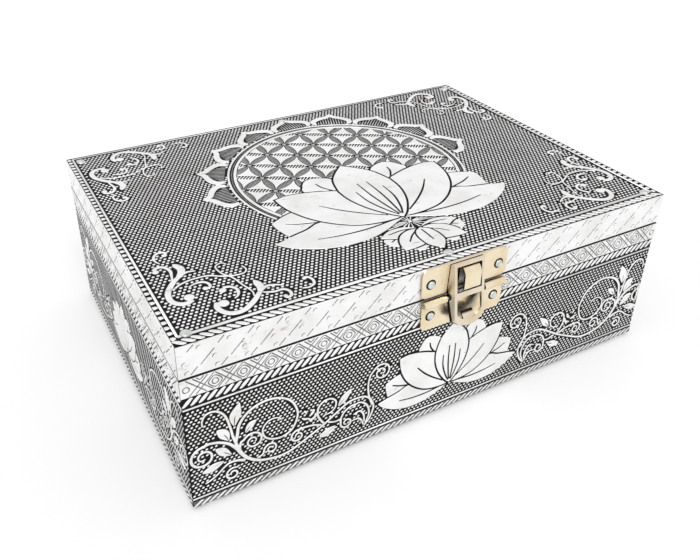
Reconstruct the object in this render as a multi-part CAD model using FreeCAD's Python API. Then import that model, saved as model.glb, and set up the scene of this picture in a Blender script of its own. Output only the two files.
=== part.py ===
import FreeCAD, Part
import math
import os

# A keepsake box of wood, clad in embossed metal sheet, with a hinged lid and a sprung front catch.
# Millimetres. X runs along the front, +Y points to the back, +Z is up. The box stands on Z = 0,
# and the middle of its whole outline, catch and hinges included, is at X = Y = 0.

# Outside of the box
box_width = 210.0
box_depth = 150.0
base_height = 57.5
lid_height = 12.7
seam_gap = 0.4

# Sheet, wood and cloth
sheet_thickness = 0.8
sheet_edge_radius = 0.5
wall_thickness = 6.5
floor_thickness = 5.0
lid_panel_thickness = 4.5
felt_thickness = 0.6
lining_thickness = 1.2

# Feet
foot_radius = 6.2
foot_height = 1.6
foot_edge_radius = 0.9
foot_inset = 1.0

# Nails: the wood left beyond a nail's point, and the room round its shank
nail_cover = 1.5
nail_fit = 0.02
nail_head_round_share = 0.7
sheet_nail_head_radius = 1.7
sheet_nail_head_height = 0.5
sheet_nail_shank_radius = 0.7
sheet_nail_inset = 5.3

# Clearances of the moving pieces
running_clearance = 0.05
end_clearance = 0.3
swing_clearance = 0.3
cut_overrun = 1.0
parallel_tolerance_share = 1e-6

# Hinges
hinge_inset = 30.0
hinge_width = 26.0
hinge_leaf_height = 10.0
hinge_leaf_thickness = 0.8
hinge_corner_radius = 1.5
hinge_pin_radius = 0.8
hinge_middle_share = 0.42
hinge_stand_off = 0.25
hinge_nail_head_radius = 1.5
hinge_nail_head_height = 0.45
hinge_nail_shank_radius = 0.65
hinge_nail_inset = 4.5
hinge_nail_height_share = 0.58

# Catch plates
catch_offset = 3.6
catch_plate_thickness = 0.8
catch_corner_radius = 2.5
lid_plate_width = 38.0
lid_plate_margin = 0.4
base_plate_width = 36.5
base_plate_drop = 12.0
catch_pin_radius = 0.6
catch_nail_inset = 3.9
catch_nail_hole_radius = 2.1
catch_nail_seat_depth = 0.4
catch_nail_head_radius = 1.75
catch_nail_head_height = 0.5
catch_nail_shank_radius = 0.9
lid_nail_height_share = 0.47
base_nail_drop_share = 0.5

# Catch lever, and the nose of the lid plate that it holds
nose_width = 7.2
nose_shift = 0.9
nose_thickness = 0.8
nose_clearance = 0.35
nose_end_margin = 1.4
lever_thickness = 0.8
lever_top_margin = 0.4
lever_top_bar = 1.2
lever_drop = 12.0
lever_end_rise = 3.5
lever_stand = 2.9
lever_depth = 4.6
lever_gap = 0.25
lever_ear_radius = 1.3
lever_tilt_degrees = 8.0
lever_flare_degrees = 20.0
lever_travel_degrees = 16.0
window_side_gap = 1.9
window_side_rail = 1.15
crossbar_rise = 2.4
crossbar_height = 2.2
finger_hole_end_rise = 3.0
finger_hole_margin = 2.6
tongue_width = 5.0
tongue_length = 3.2
tongue_bend_degrees = 32.0

# Levels of the box
body_bottom_z = foot_height
wood_bottom_z = body_bottom_z + felt_thickness
floor_top_z = wood_bottom_z + floor_thickness
seam_z = body_bottom_z + base_height
lid_bottom_z = seam_z + seam_gap
lid_top_z = lid_bottom_z + lid_height
panel_top_z = lid_top_z - sheet_thickness
panel_bottom_z = panel_top_z - lid_panel_thickness

# Places that the catch and the hinges share
catch_barrel_radius = catch_pin_radius + running_clearance + catch_plate_thickness
catch_pivot_out = catch_barrel_radius + running_clearance
catch_pivot_z = seam_z - catch_barrel_radius
hinge_barrel_radius = hinge_pin_radius + running_clearance + hinge_leaf_thickness
hinge_axis_out = hinge_barrel_radius + hinge_stand_off
hinge_axis_z = seam_z + seam_gap / 2
hinge_offset = box_width / 2 - hinge_inset - hinge_width / 2

# Plan of the lever, measured along its tilted face from the pivot
tilt = math.radians(lever_tilt_degrees)
flare = math.radians(lever_flare_degrees)
travel = math.radians(lever_travel_degrees)
lid_plate_bottom_z = lid_bottom_z + lid_plate_margin
lid_plate_top_z = lid_top_z - lid_plate_margin
lever_back_out = catch_plate_thickness + lever_gap
lever_top_rise = (lid_plate_top_z - lever_top_margin - catch_pivot_z) / math.cos(tilt)
window_width = nose_width + 2 * window_side_gap
lever_width = window_width + 2 * window_side_rail
lever_back_half_width = lever_width / 2 + lever_depth * math.tan(flare)
lever_reach = (catch_pivot_out + lever_stand * math.cos(tilt) + lever_drop * math.sin(tilt))

# The nose stops under the lever's top bar, and as far out as the pressed lever clears
bar_rise = lever_top_rise - lever_top_bar
bar_back = (lever_back_out - catch_pivot_out + bar_rise * math.sin(tilt)) / math.cos(tilt)
bar_height = bar_rise * math.cos(tilt) + bar_back * math.sin(tilt)
nose_top_z = catch_pivot_z + bar_height - nose_clearance
nose_reach = (catch_pivot_out + (lever_back_out - catch_pivot_out) * math.cos(travel)
              + bar_height * math.sin(travel) - nose_clearance)
nose_end_z = lid_plate_bottom_z + nose_end_margin

# The box is set back or forward so that the whole outline is centred
hinge_reach = hinge_axis_out + hinge_barrel_radius
body_centre_y = (lever_reach - hinge_reach) / 2
front_y = body_centre_y - box_depth / 2
back_y = body_centre_y + box_depth / 2
half_width = box_width / 2
inner_half_width = half_width - sheet_thickness
inner_front_y = front_y + sheet_thickness
inner_back_y = back_y - sheet_thickness
catch_pivot_y = front_y - catch_pivot_out
hinge_axis_y = back_y + hinge_axis_out

TO_FRONT = FreeCAD.Vector(0, -1, 0)
TO_BACK = FreeCAD.Vector(0, 1, 0)
UPWARD = FreeCAD.Vector(0, 0, 1)
X_AXIS = FreeCAD.Vector(1, 0, 0)
ORIGIN = FreeCAD.Vector(0, 0, 0)


def vector(x, y, z):
    return FreeCAD.Vector(x, y, z)


def block(x_low, x_high, y_low, y_high, z_low, z_high):
    """A rectangular block between two corners."""
    corner = vector(x_low, y_low, z_low)
    return Part.makeBox(x_high - x_low, y_high - y_low, z_high - z_low, corner)


def cross_bar(radius, x_low, x_high, y, z):
    """A round bar along X."""
    return Part.makeCylinder(radius, x_high - x_low, vector(x_low, y, z), X_AXIS)


def prism_along_x(points, x_low, x_high):
    """A polygon of (y, z) points, drawn out along X."""
    corners = [vector(x_low, y, z) for y, z in points]
    wire = Part.makePolygon(corners + corners[:1])
    return Part.Face(wire).extrude(vector(x_high - x_low, 0, 0))


def rounded_plate(x_middle, width, z_low, z_high, y, outward, thickness, radius):
    """An upright plate with rounded corners, whose back lies at y."""
    left = x_middle - width / 2
    plate = block(left, left + width, 0, thickness, z_low, z_high)
    corners = [edge for edge in plate.Edges if is_along(edge, TO_BACK)]
    plate = plate.makeFillet(radius, corners)
    shift = y if outward.y > 0 else y - thickness
    plate.translate(vector(0, shift, 0))
    return plate


def is_along(edge, direction):
    """Whether a straight edge runs along a direction."""
    return edge.tangentAt(edge.FirstParameter).cross(direction).Length < parallel_tolerance_share


def aimed(shape, place, outward):
    """A shape built along +Z, turned to point outward and moved to its place."""
    angle = {-1: 90, 0: 0, 1: -90}[round(outward.y)]
    shape.rotate(ORIGIN, X_AXIS, angle)
    shape.translate(place)
    return shape


def nail(place, outward, head_radius, head_height, shank_radius, shank_length):
    """A nail with a rounded head, whose head sits on the surface at place."""
    head = Part.makeCylinder(head_radius, head_height)
    brim = [edge for edge in head.Edges if edge.Closed and edge.CenterOfMass.z > head_height / 2]
    head = head.makeFillet(head_height * nail_head_round_share, brim)
    shank = Part.makeCylinder(shank_radius, shank_length, vector(0, 0, -shank_length))
    return aimed(head.fuse(shank).removeSplitter(), place, outward)


def nail_hole(place, outward, shank_radius, shank_length):
    """The hole that a nail's shank stands in."""
    length = shank_length + nail_fit
    hole = Part.makeCylinder(shank_radius + nail_fit, length, vector(0, 0, -length))
    return aimed(hole, place, outward)


def cut_all(shape, tools):
    """A shape with every tool cut out of it."""
    return shape.cut(tools).removeSplitter() if tools else shape


pieces = {}
lid_sheet_holes = []
lid_front_holes = []
lid_back_holes = []
base_front_holes = []
base_back_holes = []


def add_nails():
    """All nails, with the holes that they need in what they hold."""
    depth_in_wall = sheet_thickness + wall_thickness - nail_cover

    length = sheet_thickness + lid_panel_thickness - nail_cover
    column = half_width - sheet_nail_inset
    rows = (front_y + sheet_nail_inset, back_y - sheet_nail_inset)
    nails = []
    for y in rows:
        for x in (-column, 0, column):
            place = vector(x, y, lid_top_z)
            nails.append(nail(place, UPWARD, sheet_nail_head_radius, sheet_nail_head_height,
                              sheet_nail_shank_radius, length))
            lid_sheet_holes.append(nail_hole(place, UPWARD, sheet_nail_shank_radius, length))
    pieces["lid_sheet_nails"] = Part.makeCompound(nails)

    seat_out = catch_plate_thickness - catch_nail_seat_depth
    length = seat_out + depth_in_wall
    lid_level = lid_plate_bottom_z + lid_nail_height_share * (lid_plate_top_z - lid_plate_bottom_z)
    base_level = catch_pivot_z - base_nail_drop_share * base_plate_drop
    for name, width, level, holes in (
            ("clasp_lid_nails", lid_plate_width, lid_level, lid_front_holes),
            ("clasp_base_nails", base_plate_width, base_level, base_front_holes)):
        nails = []
        for side in (-1, 1):
            x = catch_offset + side * (width / 2 - catch_nail_inset)
            place = vector(x, front_y - seat_out, level)
            nails.append(nail(place, TO_FRONT, catch_nail_head_radius, catch_nail_head_height,
                              catch_nail_shank_radius, length))
            holes.append(nail_hole(place, TO_FRONT, catch_nail_shank_radius, length))
        pieces[name] = Part.makeCompound(nails)

    length = hinge_leaf_thickness + depth_in_wall
    rise = hinge_nail_height_share * hinge_leaf_height
    for name, level, holes in (
            ("hinge_lid_nails", hinge_axis_z + rise, lid_back_holes),
            ("hinge_base_nails", hinge_axis_z - rise, base_back_holes)):
        nails = []
        for middle in (-hinge_offset, hinge_offset):
            for side in (-1, 1):
                x = middle + side * (hinge_width / 2 - hinge_nail_inset)
                place = vector(x, back_y + hinge_leaf_thickness, level)
                nails.append(nail(place, TO_BACK, hinge_nail_head_radius, hinge_nail_head_height,
                                  hinge_nail_shank_radius, length))
                holes.append(nail_hole(place, TO_BACK, hinge_nail_shank_radius, length))
        pieces[name] = Part.makeCompound(nails)


def wall_ring(prefix, suffix, half_x, y_low, y_high, thickness, z_low, z_high):
    """Four upright walls: front and back run the full width, the sides stand between them."""
    inner = half_x - thickness
    pieces[prefix + "front" + suffix] = block(-half_x, half_x, y_low, y_low + thickness, z_low, z_high)
    pieces[prefix + "back" + suffix] = block(-half_x, half_x, y_high - thickness, y_high, z_low, z_high)
    sides = (y_low + thickness, y_high - thickness)
    pieces[prefix + "left" + suffix] = block(-half_x, -inner, *sides, z_low, z_high)
    pieces[prefix + "right" + suffix] = block(inner, half_x, *sides, z_low, z_high)


def round_outer_uprights(name, outer_y):
    """Rounds the upright edges at the outer face of a front or back sheet."""
    shape = pieces[name]
    edges = [edge for edge in shape.Edges
             if is_along(edge, UPWARD) and abs(edge.Vertexes[0].Y - outer_y) < sheet_thickness / 2]
    pieces[name] = shape.makeFillet(sheet_edge_radius, edges)


def add_base():
    """Wood, sheet, felt, lining and feet of the base."""
    wall_ring("base_", "_panel", inner_half_width, inner_front_y, inner_back_y,
              wall_thickness, wood_bottom_z, seam_z)
    wall_ring("base_", "_sheet", half_width, front_y, back_y,
              sheet_thickness, body_bottom_z, seam_z)
    round_outer_uprights("base_front_sheet", front_y)
    round_outer_uprights("base_back_sheet", back_y)
    pieces["base_front_panel"] = cut_all(pieces["base_front_panel"], base_front_holes)
    pieces["base_front_sheet"] = cut_all(pieces["base_front_sheet"], base_front_holes)
    pieces["base_back_panel"] = cut_all(pieces["base_back_panel"], base_back_holes)
    pieces["base_back_sheet"] = cut_all(pieces["base_back_sheet"], base_back_holes)

    room_x = inner_half_width - wall_thickness
    room_front_y = inner_front_y + wall_thickness
    room_back_y = inner_back_y - wall_thickness
    pieces["base_floor_panel"] = block(-room_x, room_x, room_front_y, room_back_y,
                                       wood_bottom_z, floor_top_z)
    pieces["base_felt"] = block(-inner_half_width, inner_half_width, inner_front_y, inner_back_y,
                                body_bottom_z, wood_bottom_z)
    wall_ring("lining_", "", room_x, room_front_y, room_back_y,
              lining_thickness, floor_top_z, seam_z)
    pieces["lining_floor"] = block(
        lining_thickness - room_x, room_x - lining_thickness,
        room_front_y + lining_thickness, room_back_y - lining_thickness,
        floor_top_z, floor_top_z + lining_thickness)

    foot_x = half_width - foot_inset - foot_radius
    rows = {"front": front_y + foot_inset + foot_radius, "back": back_y - foot_inset - foot_radius}
    for row, y in rows.items():
        for side, x in (("left", -foot_x), ("right", foot_x)):
            foot = Part.makeCylinder(foot_radius, foot_height, vector(x, y, 0))
            rim = [edge for edge in foot.Edges if edge.Closed and edge.CenterOfMass.z < foot_height / 2]
            pieces["foot_" + row + "_" + side] = foot.makeFillet(foot_edge_radius, rim)


def add_lid():
    """Wood, sheet and lining of the lid."""
    wall_ring("lid_", "_rail", inner_half_width, inner_front_y, inner_back_y,
              wall_thickness, lid_bottom_z, panel_bottom_z)
    wall_ring("lid_", "_sheet", half_width, front_y, back_y,
              sheet_thickness, lid_bottom_z, panel_top_z)
    round_outer_uprights("lid_front_sheet", front_y)
    round_outer_uprights("lid_back_sheet", back_y)
    panel = block(-inner_half_width, inner_half_width, inner_front_y, inner_back_y,
                  panel_bottom_z, panel_top_z)
    sheet = block(-half_width, half_width, front_y, back_y, panel_top_z, lid_top_z)
    uprights = [edge for edge in sheet.Edges if is_along(edge, UPWARD)]
    sheet = sheet.makeFillet(sheet_edge_radius, uprights)
    brim = [edge for edge in sheet.Edges if edge.BoundBox.ZMin > lid_top_z - sheet_thickness / 2]
    sheet = sheet.makeFillet(sheet_edge_radius, brim)
    pieces["lid_top_panel"] = cut_all(panel, lid_sheet_holes + lid_front_holes + lid_back_holes)
    pieces["lid_top_sheet"] = cut_all(sheet, lid_sheet_holes)
    pieces["lid_front_rail"] = cut_all(pieces["lid_front_rail"], lid_front_holes)
    pieces["lid_front_sheet"] = cut_all(pieces["lid_front_sheet"], lid_front_holes)
    pieces["lid_back_rail"] = cut_all(pieces["lid_back_rail"], lid_back_holes)
    pieces["lid_back_sheet"] = cut_all(pieces["lid_back_sheet"], lid_back_holes)

    room_x = inner_half_width - wall_thickness
    room_front_y = inner_front_y + wall_thickness
    room_back_y = inner_back_y - wall_thickness
    wall_ring("lid_lining_", "", room_x, room_front_y, room_back_y,
              lining_thickness, lid_bottom_z, panel_bottom_z)
    pieces["lid_lining_top"] = block(
        lining_thickness - room_x, room_x - lining_thickness,
        room_front_y + lining_thickness, room_back_y - lining_thickness,
        panel_bottom_z - lining_thickness, panel_bottom_z)


def hinge_leaf(x_middle, upward, barrels, gaps, holes):
    """A hinge leaf: a plate on the back of the box, with knuckles rolled round the pin."""
    tip_z = hinge_axis_z + upward * hinge_leaf_height
    z_low = min(hinge_axis_z, tip_z)
    z_high = max(hinge_axis_z, tip_z)
    left = x_middle - hinge_width / 2
    plate = block(left, left + hinge_width, back_y, back_y + hinge_leaf_thickness, z_low, z_high)
    corners = [edge for edge in plate.Edges
               if is_along(edge, TO_BACK) and abs(edge.CenterOfMass.z - tip_z) < hinge_leaf_height / 2]
    leaf = plate.makeFillet(hinge_corner_radius, corners)
    room = hinge_barrel_radius + swing_clearance
    for x_low, x_high in gaps:
        notch = cross_bar(room, x_low, x_high, hinge_axis_y, hinge_axis_z)
        leaf = leaf.cut(notch)
        slot_low = min(hinge_axis_z, hinge_axis_z + upward * room)
        slot_high = max(hinge_axis_z, hinge_axis_z + upward * room)
        leaf = leaf.cut(block(x_low, x_high, back_y - cut_overrun, hinge_axis_y, slot_low, slot_high))
    for x_low, x_high in barrels:
        leaf = leaf.fuse(cross_bar(hinge_barrel_radius, x_low, x_high, hinge_axis_y, hinge_axis_z))
    bore = cross_bar(hinge_pin_radius + running_clearance, left - cut_overrun,
                     left + hinge_width + cut_overrun, hinge_axis_y, hinge_axis_z)
    return cut_all(leaf, [bore] + holes)


def add_hinges():
    """Two butt hinges on the back, with their pins."""
    for side, middle in (("left", -hinge_offset), ("right", hinge_offset)):
        left = middle - hinge_width / 2
        right = middle + hinge_width / 2
        knuckle = hinge_middle_share * hinge_width / 2
        lid_barrel = (middle - knuckle, middle + knuckle)
        base_barrels = [(left, lid_barrel[0] - end_clearance), (lid_barrel[1] + end_clearance, right)]
        base_gap = [(lid_barrel[0] - end_clearance, lid_barrel[1] + end_clearance)]
        lid_gaps = [(left - cut_overrun, lid_barrel[0]), (lid_barrel[1], right + cut_overrun)]
        pieces["hinge_" + side + "_base_leaf"] = hinge_leaf(
            middle, -1, base_barrels, base_gap, base_back_holes)
        pieces["hinge_" + side + "_lid_leaf"] = hinge_leaf(
            middle, 1, [lid_barrel], lid_gaps, lid_back_holes)
        pieces["hinge_" + side + "_pin"] = cross_bar(
            hinge_pin_radius, left, right, hinge_axis_y, hinge_axis_z)


def nail_seats(holes):
    """The wider recesses in a catch plate that the nail heads sit in."""
    seats = []
    for hole in holes:
        place = hole.BoundBox.Center
        start = vector(place.x, front_y - catch_plate_thickness + catch_nail_seat_depth, place.z)
        depth = catch_nail_seat_depth + cut_overrun
        seats.append(Part.makeCylinder(catch_nail_hole_radius, depth, start, TO_FRONT))
    return seats


def add_lid_plate():
    """The upper plate of the catch, with the nose that is lanced and bent out of it."""
    plate = rounded_plate(catch_offset, lid_plate_width, lid_plate_bottom_z, lid_plate_top_z,
                          front_y, TO_FRONT, catch_plate_thickness, catch_corner_radius)
    face_y = front_y - catch_plate_thickness
    tip_y = front_y - nose_reach
    outer = nose_reach - catch_plate_thickness
    inner = outer - nose_thickness
    bend_z = nose_top_z - outer
    diagonal = math.sqrt(0.5)
    nose_left = catch_offset + nose_shift - nose_width / 2
    corner = {
        "root_top": (face_y, nose_top_z),
        "outer_mid": (face_y - outer * diagonal, bend_z + outer * diagonal),
        "outer_bend": (tip_y, bend_z),
        "outer_end": (tip_y, nose_end_z),
        "inner_end": (tip_y + nose_thickness, nose_end_z),
        "inner_bend": (tip_y + nose_thickness, bend_z),
        "inner_mid": (face_y - inner * diagonal, bend_z + inner * diagonal),
        "root_bottom": (face_y, bend_z + inner),
        "back_bottom": (front_y, bend_z + inner),
        "back_top": (front_y, nose_top_z),
    }
    point = {name: vector(nose_left, y, z) for name, (y, z) in corner.items()}
    edges = [
        Part.Arc(point["root_top"], point["outer_mid"], point["outer_bend"]).toShape(),
        Part.makeLine(point["outer_bend"], point["outer_end"]),
        Part.makeLine(point["outer_end"], point["inner_end"]),
        Part.makeLine(point["inner_end"], point["inner_bend"]),
        Part.Arc(point["inner_bend"], point["inner_mid"], point["root_bottom"]).toShape(),
        Part.makeLine(point["root_bottom"], point["back_bottom"]),
        Part.makeLine(point["back_bottom"], point["back_top"]),
        Part.makeLine(point["back_top"], point["root_top"]),
    ]
    nose = Part.Face(Part.Wire(edges)).extrude(vector(nose_width, 0, 0))
    slot = block(nose_left, nose_left + nose_width, face_y - cut_overrun, front_y + cut_overrun,
                 nose_end_z, bend_z + inner)
    plate = cut_all(plate, [slot] + lid_front_holes + nail_seats(lid_front_holes))
    pieces["clasp_lid_plate"] = plate.fuse(nose).removeSplitter()


def add_base_plate():
    """The lower plate of the catch: its top edge is rolled into a barrel on each side of the lever."""
    plate = rounded_plate(catch_offset, base_plate_width, catch_pivot_z - base_plate_drop, catch_pivot_z,
                          front_y, TO_FRONT, catch_plate_thickness, catch_corner_radius)
    top_band = block(catch_offset - base_plate_width / 2, catch_offset + base_plate_width / 2,
                     front_y - catch_plate_thickness, front_y,
                     catch_pivot_z - catch_corner_radius, catch_pivot_z)
    plate = plate.fuse(top_band)
    inner = lever_back_half_width + end_clearance
    ends = ((-base_plate_width / 2, -inner), (inner, base_plate_width / 2))
    for low, high in ends:
        plate = plate.fuse(cross_bar(catch_barrel_radius, catch_offset + low, catch_offset + high,
                                     catch_pivot_y, catch_pivot_z))
    reach = base_plate_width / 2 + cut_overrun
    bore = cross_bar(catch_pin_radius + running_clearance, catch_offset - reach, catch_offset + reach,
                     catch_pivot_y, catch_pivot_z)
    ear_room = cross_bar(lever_ear_radius + swing_clearance, catch_offset - inner, catch_offset + inner,
                         catch_pivot_y, catch_pivot_z)
    tools = [bore, ear_room] + base_front_holes + nail_seats(base_front_holes)
    pieces["clasp_base_plate"] = cut_all(plate, tools)
    pieces["clasp_pin"] = cross_bar(catch_pin_radius, catch_offset - base_plate_width / 2,
                                    catch_offset + base_plate_width / 2, catch_pivot_y, catch_pivot_z)


def lever_outline(depth, inset, top):
    """The lever's outline at a depth behind its face, flared, in the lever's own frame."""
    spread = depth * math.tan(flare) - inset
    half = lever_width / 2 + spread
    low = -lever_drop - spread
    y = depth - lever_stand
    left_top = vector(-half, y, top)
    left_low = vector(-half, y, low + lever_end_rise)
    right_low = vector(half, y, low + lever_end_rise)
    right_top = vector(half, y, top)
    return Part.Wire([
        Part.makeLine(left_top, left_low),
        Part.Arc(left_low, vector(0, y, low), right_low).toShape(),
        Part.makeLine(right_low, right_top),
        Part.makeLine(right_top, left_top),
    ])


def add_lever():
    """The sprung lever: a flared shell with a window for the nose and a finger hole with a tongue."""
    shell = Part.makeLoft([lever_outline(0, 0, lever_top_rise),
                           lever_outline(lever_depth, 0, lever_top_rise)], True, True)
    hollow_depth = lever_depth + cut_overrun
    hollow = Part.makeLoft([lever_outline(lever_thickness, lever_thickness, bar_rise),
                            lever_outline(hollow_depth, lever_thickness, bar_rise)], True, True)
    shell = shell.cut(hollow)
    half_reach = lever_back_half_width + cut_overrun
    ears = shell.common(cross_bar(lever_ear_radius, -half_reach, half_reach, 0, 0))

    face_y = -lever_stand
    half = window_width / 2
    front = face_y - cut_overrun
    behind = face_y + lever_thickness + cut_overrun
    window = block(-half, half, front, behind, crossbar_rise, bar_rise)
    hole_top = crossbar_rise - crossbar_height
    hole_low = finger_hole_margin - lever_drop
    side_low = hole_low + finger_hole_end_rise
    left_top = vector(-half, front, hole_top)
    left_low = vector(-half, front, side_low)
    right_low = vector(half, front, side_low)
    right_top = vector(half, front, hole_top)
    hole_wire = Part.Wire([
        Part.makeLine(left_top, left_low),
        Part.Arc(left_low, vector(0, front, hole_low), right_low).toShape(),
        Part.makeLine(right_low, right_top),
        Part.makeLine(right_top, left_top),
    ])
    finger_hole = Part.Face(hole_wire).extrude(vector(0, behind - front, 0))
    bore = cross_bar(catch_pin_radius + running_clearance, -half_reach, half_reach, 0, 0)
    lever = shell.cut([window, finger_hole])

    bend = math.radians(tongue_bend_degrees)
    lean_y = tongue_length * math.sin(bend)
    lean_z = tongue_length * math.cos(bend)
    inner_y = face_y + lever_thickness
    foot_z = hole_low - lever_thickness
    profile = [(face_y, foot_z), (inner_y, foot_z), (inner_y, hole_low),
               (inner_y + lean_y, hole_low + lean_z), (face_y + lean_y, hole_low + lean_z),
               (face_y, hole_low)]
    tongue = prism_along_x(profile, -tongue_width / 2, tongue_width / 2)
    lever = lever.fuse(tongue).removeSplitter()

    for shape in (lever, ears, bore):
        shape.rotate(ORIGIN, X_AXIS, -lever_tilt_degrees)
        shape.translate(vector(catch_offset, catch_pivot_y, catch_pivot_z))
    back_y_upper = front_y - lever_back_out
    top_z = lid_top_z + cut_overrun
    low_z = catch_pivot_z - lever_drop - lever_depth - cut_overrun
    lean = (catch_pivot_z - low_z) * math.tan(travel)
    behind_y = front_y + lever_depth + cut_overrun
    clear = [(behind_y, top_z), (back_y_upper, top_z), (back_y_upper, catch_pivot_z),
             (back_y_upper - lean, low_z), (behind_y, low_z)]
    room = prism_along_x(clear, catch_offset - half_reach, catch_offset + half_reach)
    lever = lever.cut(room).fuse(ears).cut(bore)
    pieces["clasp_lever"] = lever.removeSplitter()


def main():
    add_nails()
    add_base()
    add_lid()
    add_hinges()
    add_lid_plate()
    add_base_plate()
    add_lever()
    os.makedirs("parts", exist_ok=True)
    for name, shape in pieces.items():
        shape.exportStep(os.path.join("parts", name + ".step"))
        print(name, len(shape.Solids), shape.isValid(), round(shape.Volume, 2))


main()
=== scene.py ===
import math

import bmesh
import bpy
from mathutils import Matrix, Vector, noise
from mathutils.geometry import delaunay_2d_cdt


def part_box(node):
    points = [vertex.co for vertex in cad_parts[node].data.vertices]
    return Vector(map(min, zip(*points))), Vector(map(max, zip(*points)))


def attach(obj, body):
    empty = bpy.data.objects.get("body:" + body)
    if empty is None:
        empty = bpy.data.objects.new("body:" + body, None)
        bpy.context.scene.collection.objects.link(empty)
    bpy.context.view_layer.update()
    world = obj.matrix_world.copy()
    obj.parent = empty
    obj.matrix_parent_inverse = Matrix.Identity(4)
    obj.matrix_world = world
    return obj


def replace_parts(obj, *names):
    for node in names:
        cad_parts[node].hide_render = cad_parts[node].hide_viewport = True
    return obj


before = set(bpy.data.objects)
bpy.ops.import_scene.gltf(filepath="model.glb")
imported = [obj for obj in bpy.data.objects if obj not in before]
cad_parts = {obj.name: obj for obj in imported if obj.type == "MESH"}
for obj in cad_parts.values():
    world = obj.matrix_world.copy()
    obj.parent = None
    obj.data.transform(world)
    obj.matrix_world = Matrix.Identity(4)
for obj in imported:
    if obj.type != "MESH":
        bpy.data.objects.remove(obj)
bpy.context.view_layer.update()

# Ornament is drawn in millimetres on each face: u to the right, v up the face, h out of its ground.
MM = 0.001

# Heights and slopes of the relief: its highest points lie on the outer face of the sheet
RELIEF = 0.26
SINK = 0.05
DOT_HEIGHT = 0.1
RIDGE_HEIGHT = 0.22
PETAL_HEIGHT = 0.26
MANDALA_HEIGHT = 0.2
BAND_FLOOR = 0.16
HATCH_HEIGHT = 0.08
LINE_DEPTH = 0.08
PETAL_SLOPE = 0.12
BED_SLOPE = 0.05
BED_INSET = 0.1
MANDALA_SLOPE = 0.1

# The ground of a sheet: its cells, the length of its waves, their share of SINK, and the depth of its edge
GROUND_CELL = 3.0
GROUND_WAVE = 14.0
GROUND_WAVE_SHARE = 0.4
GROUND_EDGE_DEPTH = 0.2

# Dots: pitch, distance between rows, half lengths, turn, and gap to ornament (below zero, they run under it)
TOP_DOTS = {"pitch": 1.795, "row": 1.524, "radii": (0.71, 0.59), "turn": 0.3, "gap": -0.46}
SIDE_DOTS = {"pitch": 1.706, "row": 1.302, "radii": (0.63, 0.46), "turn": 0.4, "gap": -0.32}

# The strip along the foot of the base's sides: its height, relief, edge and shine, and its rope's shine, both
# shines kept low as painted shade where the sheet bends under
STRIP_HEIGHT = 2.78
STRIP_FLOOR = 0.12
STRIP_EDGE = 0.1
STRIP_SHADED_SHINE = 0.36
FOOT_ROPE_SHADED_SHINE = 0.75

# Zones of the base's sides, measured up from the top of that strip, and the half width of their lines
FOOT_LINE = 1.2
FIELD_LOW = 2.6
FIELD_HIGH = 40.8
HEAD_LINE = 42.1
ROPE_MIDDLE = 44.9
FRIEZE_LOW = 47.0
LINE_HALF_WIDTH = 0.45

# Borders of the lid's top: insets from its edges, half widths of its lines, and gaps at the ends of its ropes
# and round its field of dots
TOP_ROPE_INSET = 2.2
TOP_LINE_INSET = 5.05
BACK_LINE_INSET = 1.1
END_ROPE_INSET = 1.1
END_LINE_INSET = 2.65
TOP_LINE_HALF_WIDTHS = {"front": 0.8, "back": 0.4, "end": 0.55}
END_ROPE_GAPS = {"front": 4.0, "back": 1.0}
TOP_FIELD_GAPS = {"front": 1.75, "back": 1.4, "end": 1.4}

# Seats of the nails in the lid's top
NAIL_SEAT_RADIUS = 1.9
NAIL_SEAT_EDGE = 0.12
NAIL_SEAT_STEPS = 20

# Ropes: distance between beads, half widths of the rope (below zero for a left-hand lay) and of a bead, and
# how far a bead leans, in pitches. The line of a bead is given in shares of its lean and of the half width,
# and ROPE_TIP is the half width at its two ends.
TOP_ROPE = {"pitch": 3.0, "half_width": -1.4, "bead": 1.0, "lean": 1.0}
END_ROPE = {"pitch": 3.0, "half_width": 0.8, "bead": 1.15, "lean": 0.35}
BASE_ROPE = {"pitch": 2.8, "half_width": 1.75, "bead": 0.84, "lean": 1.0}
FOOT_ROPE = {"pitch": 2.8, "half_width": 1.3, "bead": 0.6, "lean": 1.0}
ROPE_SHARES = ((-0.66, -0.8), (-0.42, -0.64), (-0.2, -0.31), (0, 0), (0.2, 0.31), (0.42, 0.64), (0.66, 0.8))
ROPE_TIP = 0.35

# The lotus: right halves of its petals from the back to the front, each as two edges from foot to tip
LOTUS_FOOT = -39.0
LOTUS_PAIRS = (
    {"edges": ([(6, -16), (8.5, -4), (10, 1.8), (12, 3.8), (15, 5.4), (18.3, 6.1)],
               [(6, -16), (16, -12), (24.9, -3.6), (24, 0.8), (21.5, 4.6), (18.3, 6.1)]),
     "vein": [(17.8, 1.2), (17, -3), (14, -8)]},
    {"edges": ([(28, -27), (32, -18), (37, -16.7), (42, -17.9), (48.4, -21)],
               [(28, -27), (36, -33), (45, -34.5), (48, -26.5), (48.4, -21)]),
     "vein": [(43.8, -23.6), (38.5, -26.2), (31, -28.4)]},
    {"edges": ([(0.5, -40), (15, -34), (30.5, -28.9), (38.5, -31.5), (45.5, -33.2), (53.5, -35.5)],
               [(0.5, -40), (5, -42.1), (11, -45), (18, -47.4), (25, -48.2), (32, -47.9), (40, -45.7),
                (46, -42.5), (50.5, -39.2), (53.5, -35.5)]),
     "vein": [(38, -39.4), (29, -41), (18, -41.5), (8, -40.5), (3, -39.8)]},
    {"edges": ([(1, -39), (7, -20), (12, -10.2), (17, -7.2), (23, -5), (29, -3.6), (34, -3.2), (39, -4.2)],
               [(1, -39), (4, -39.6), (11, -39.2), (18.5, -37.3), (25, -33.3), (30.2, -28.3), (34, -23),
                (37, -16.3), (38.6, -9.5), (39, -4.2)]),
     "vein": [(25.7, -16.6), (20, -23.5), (13, -30), (5, -36)]},
)
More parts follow.
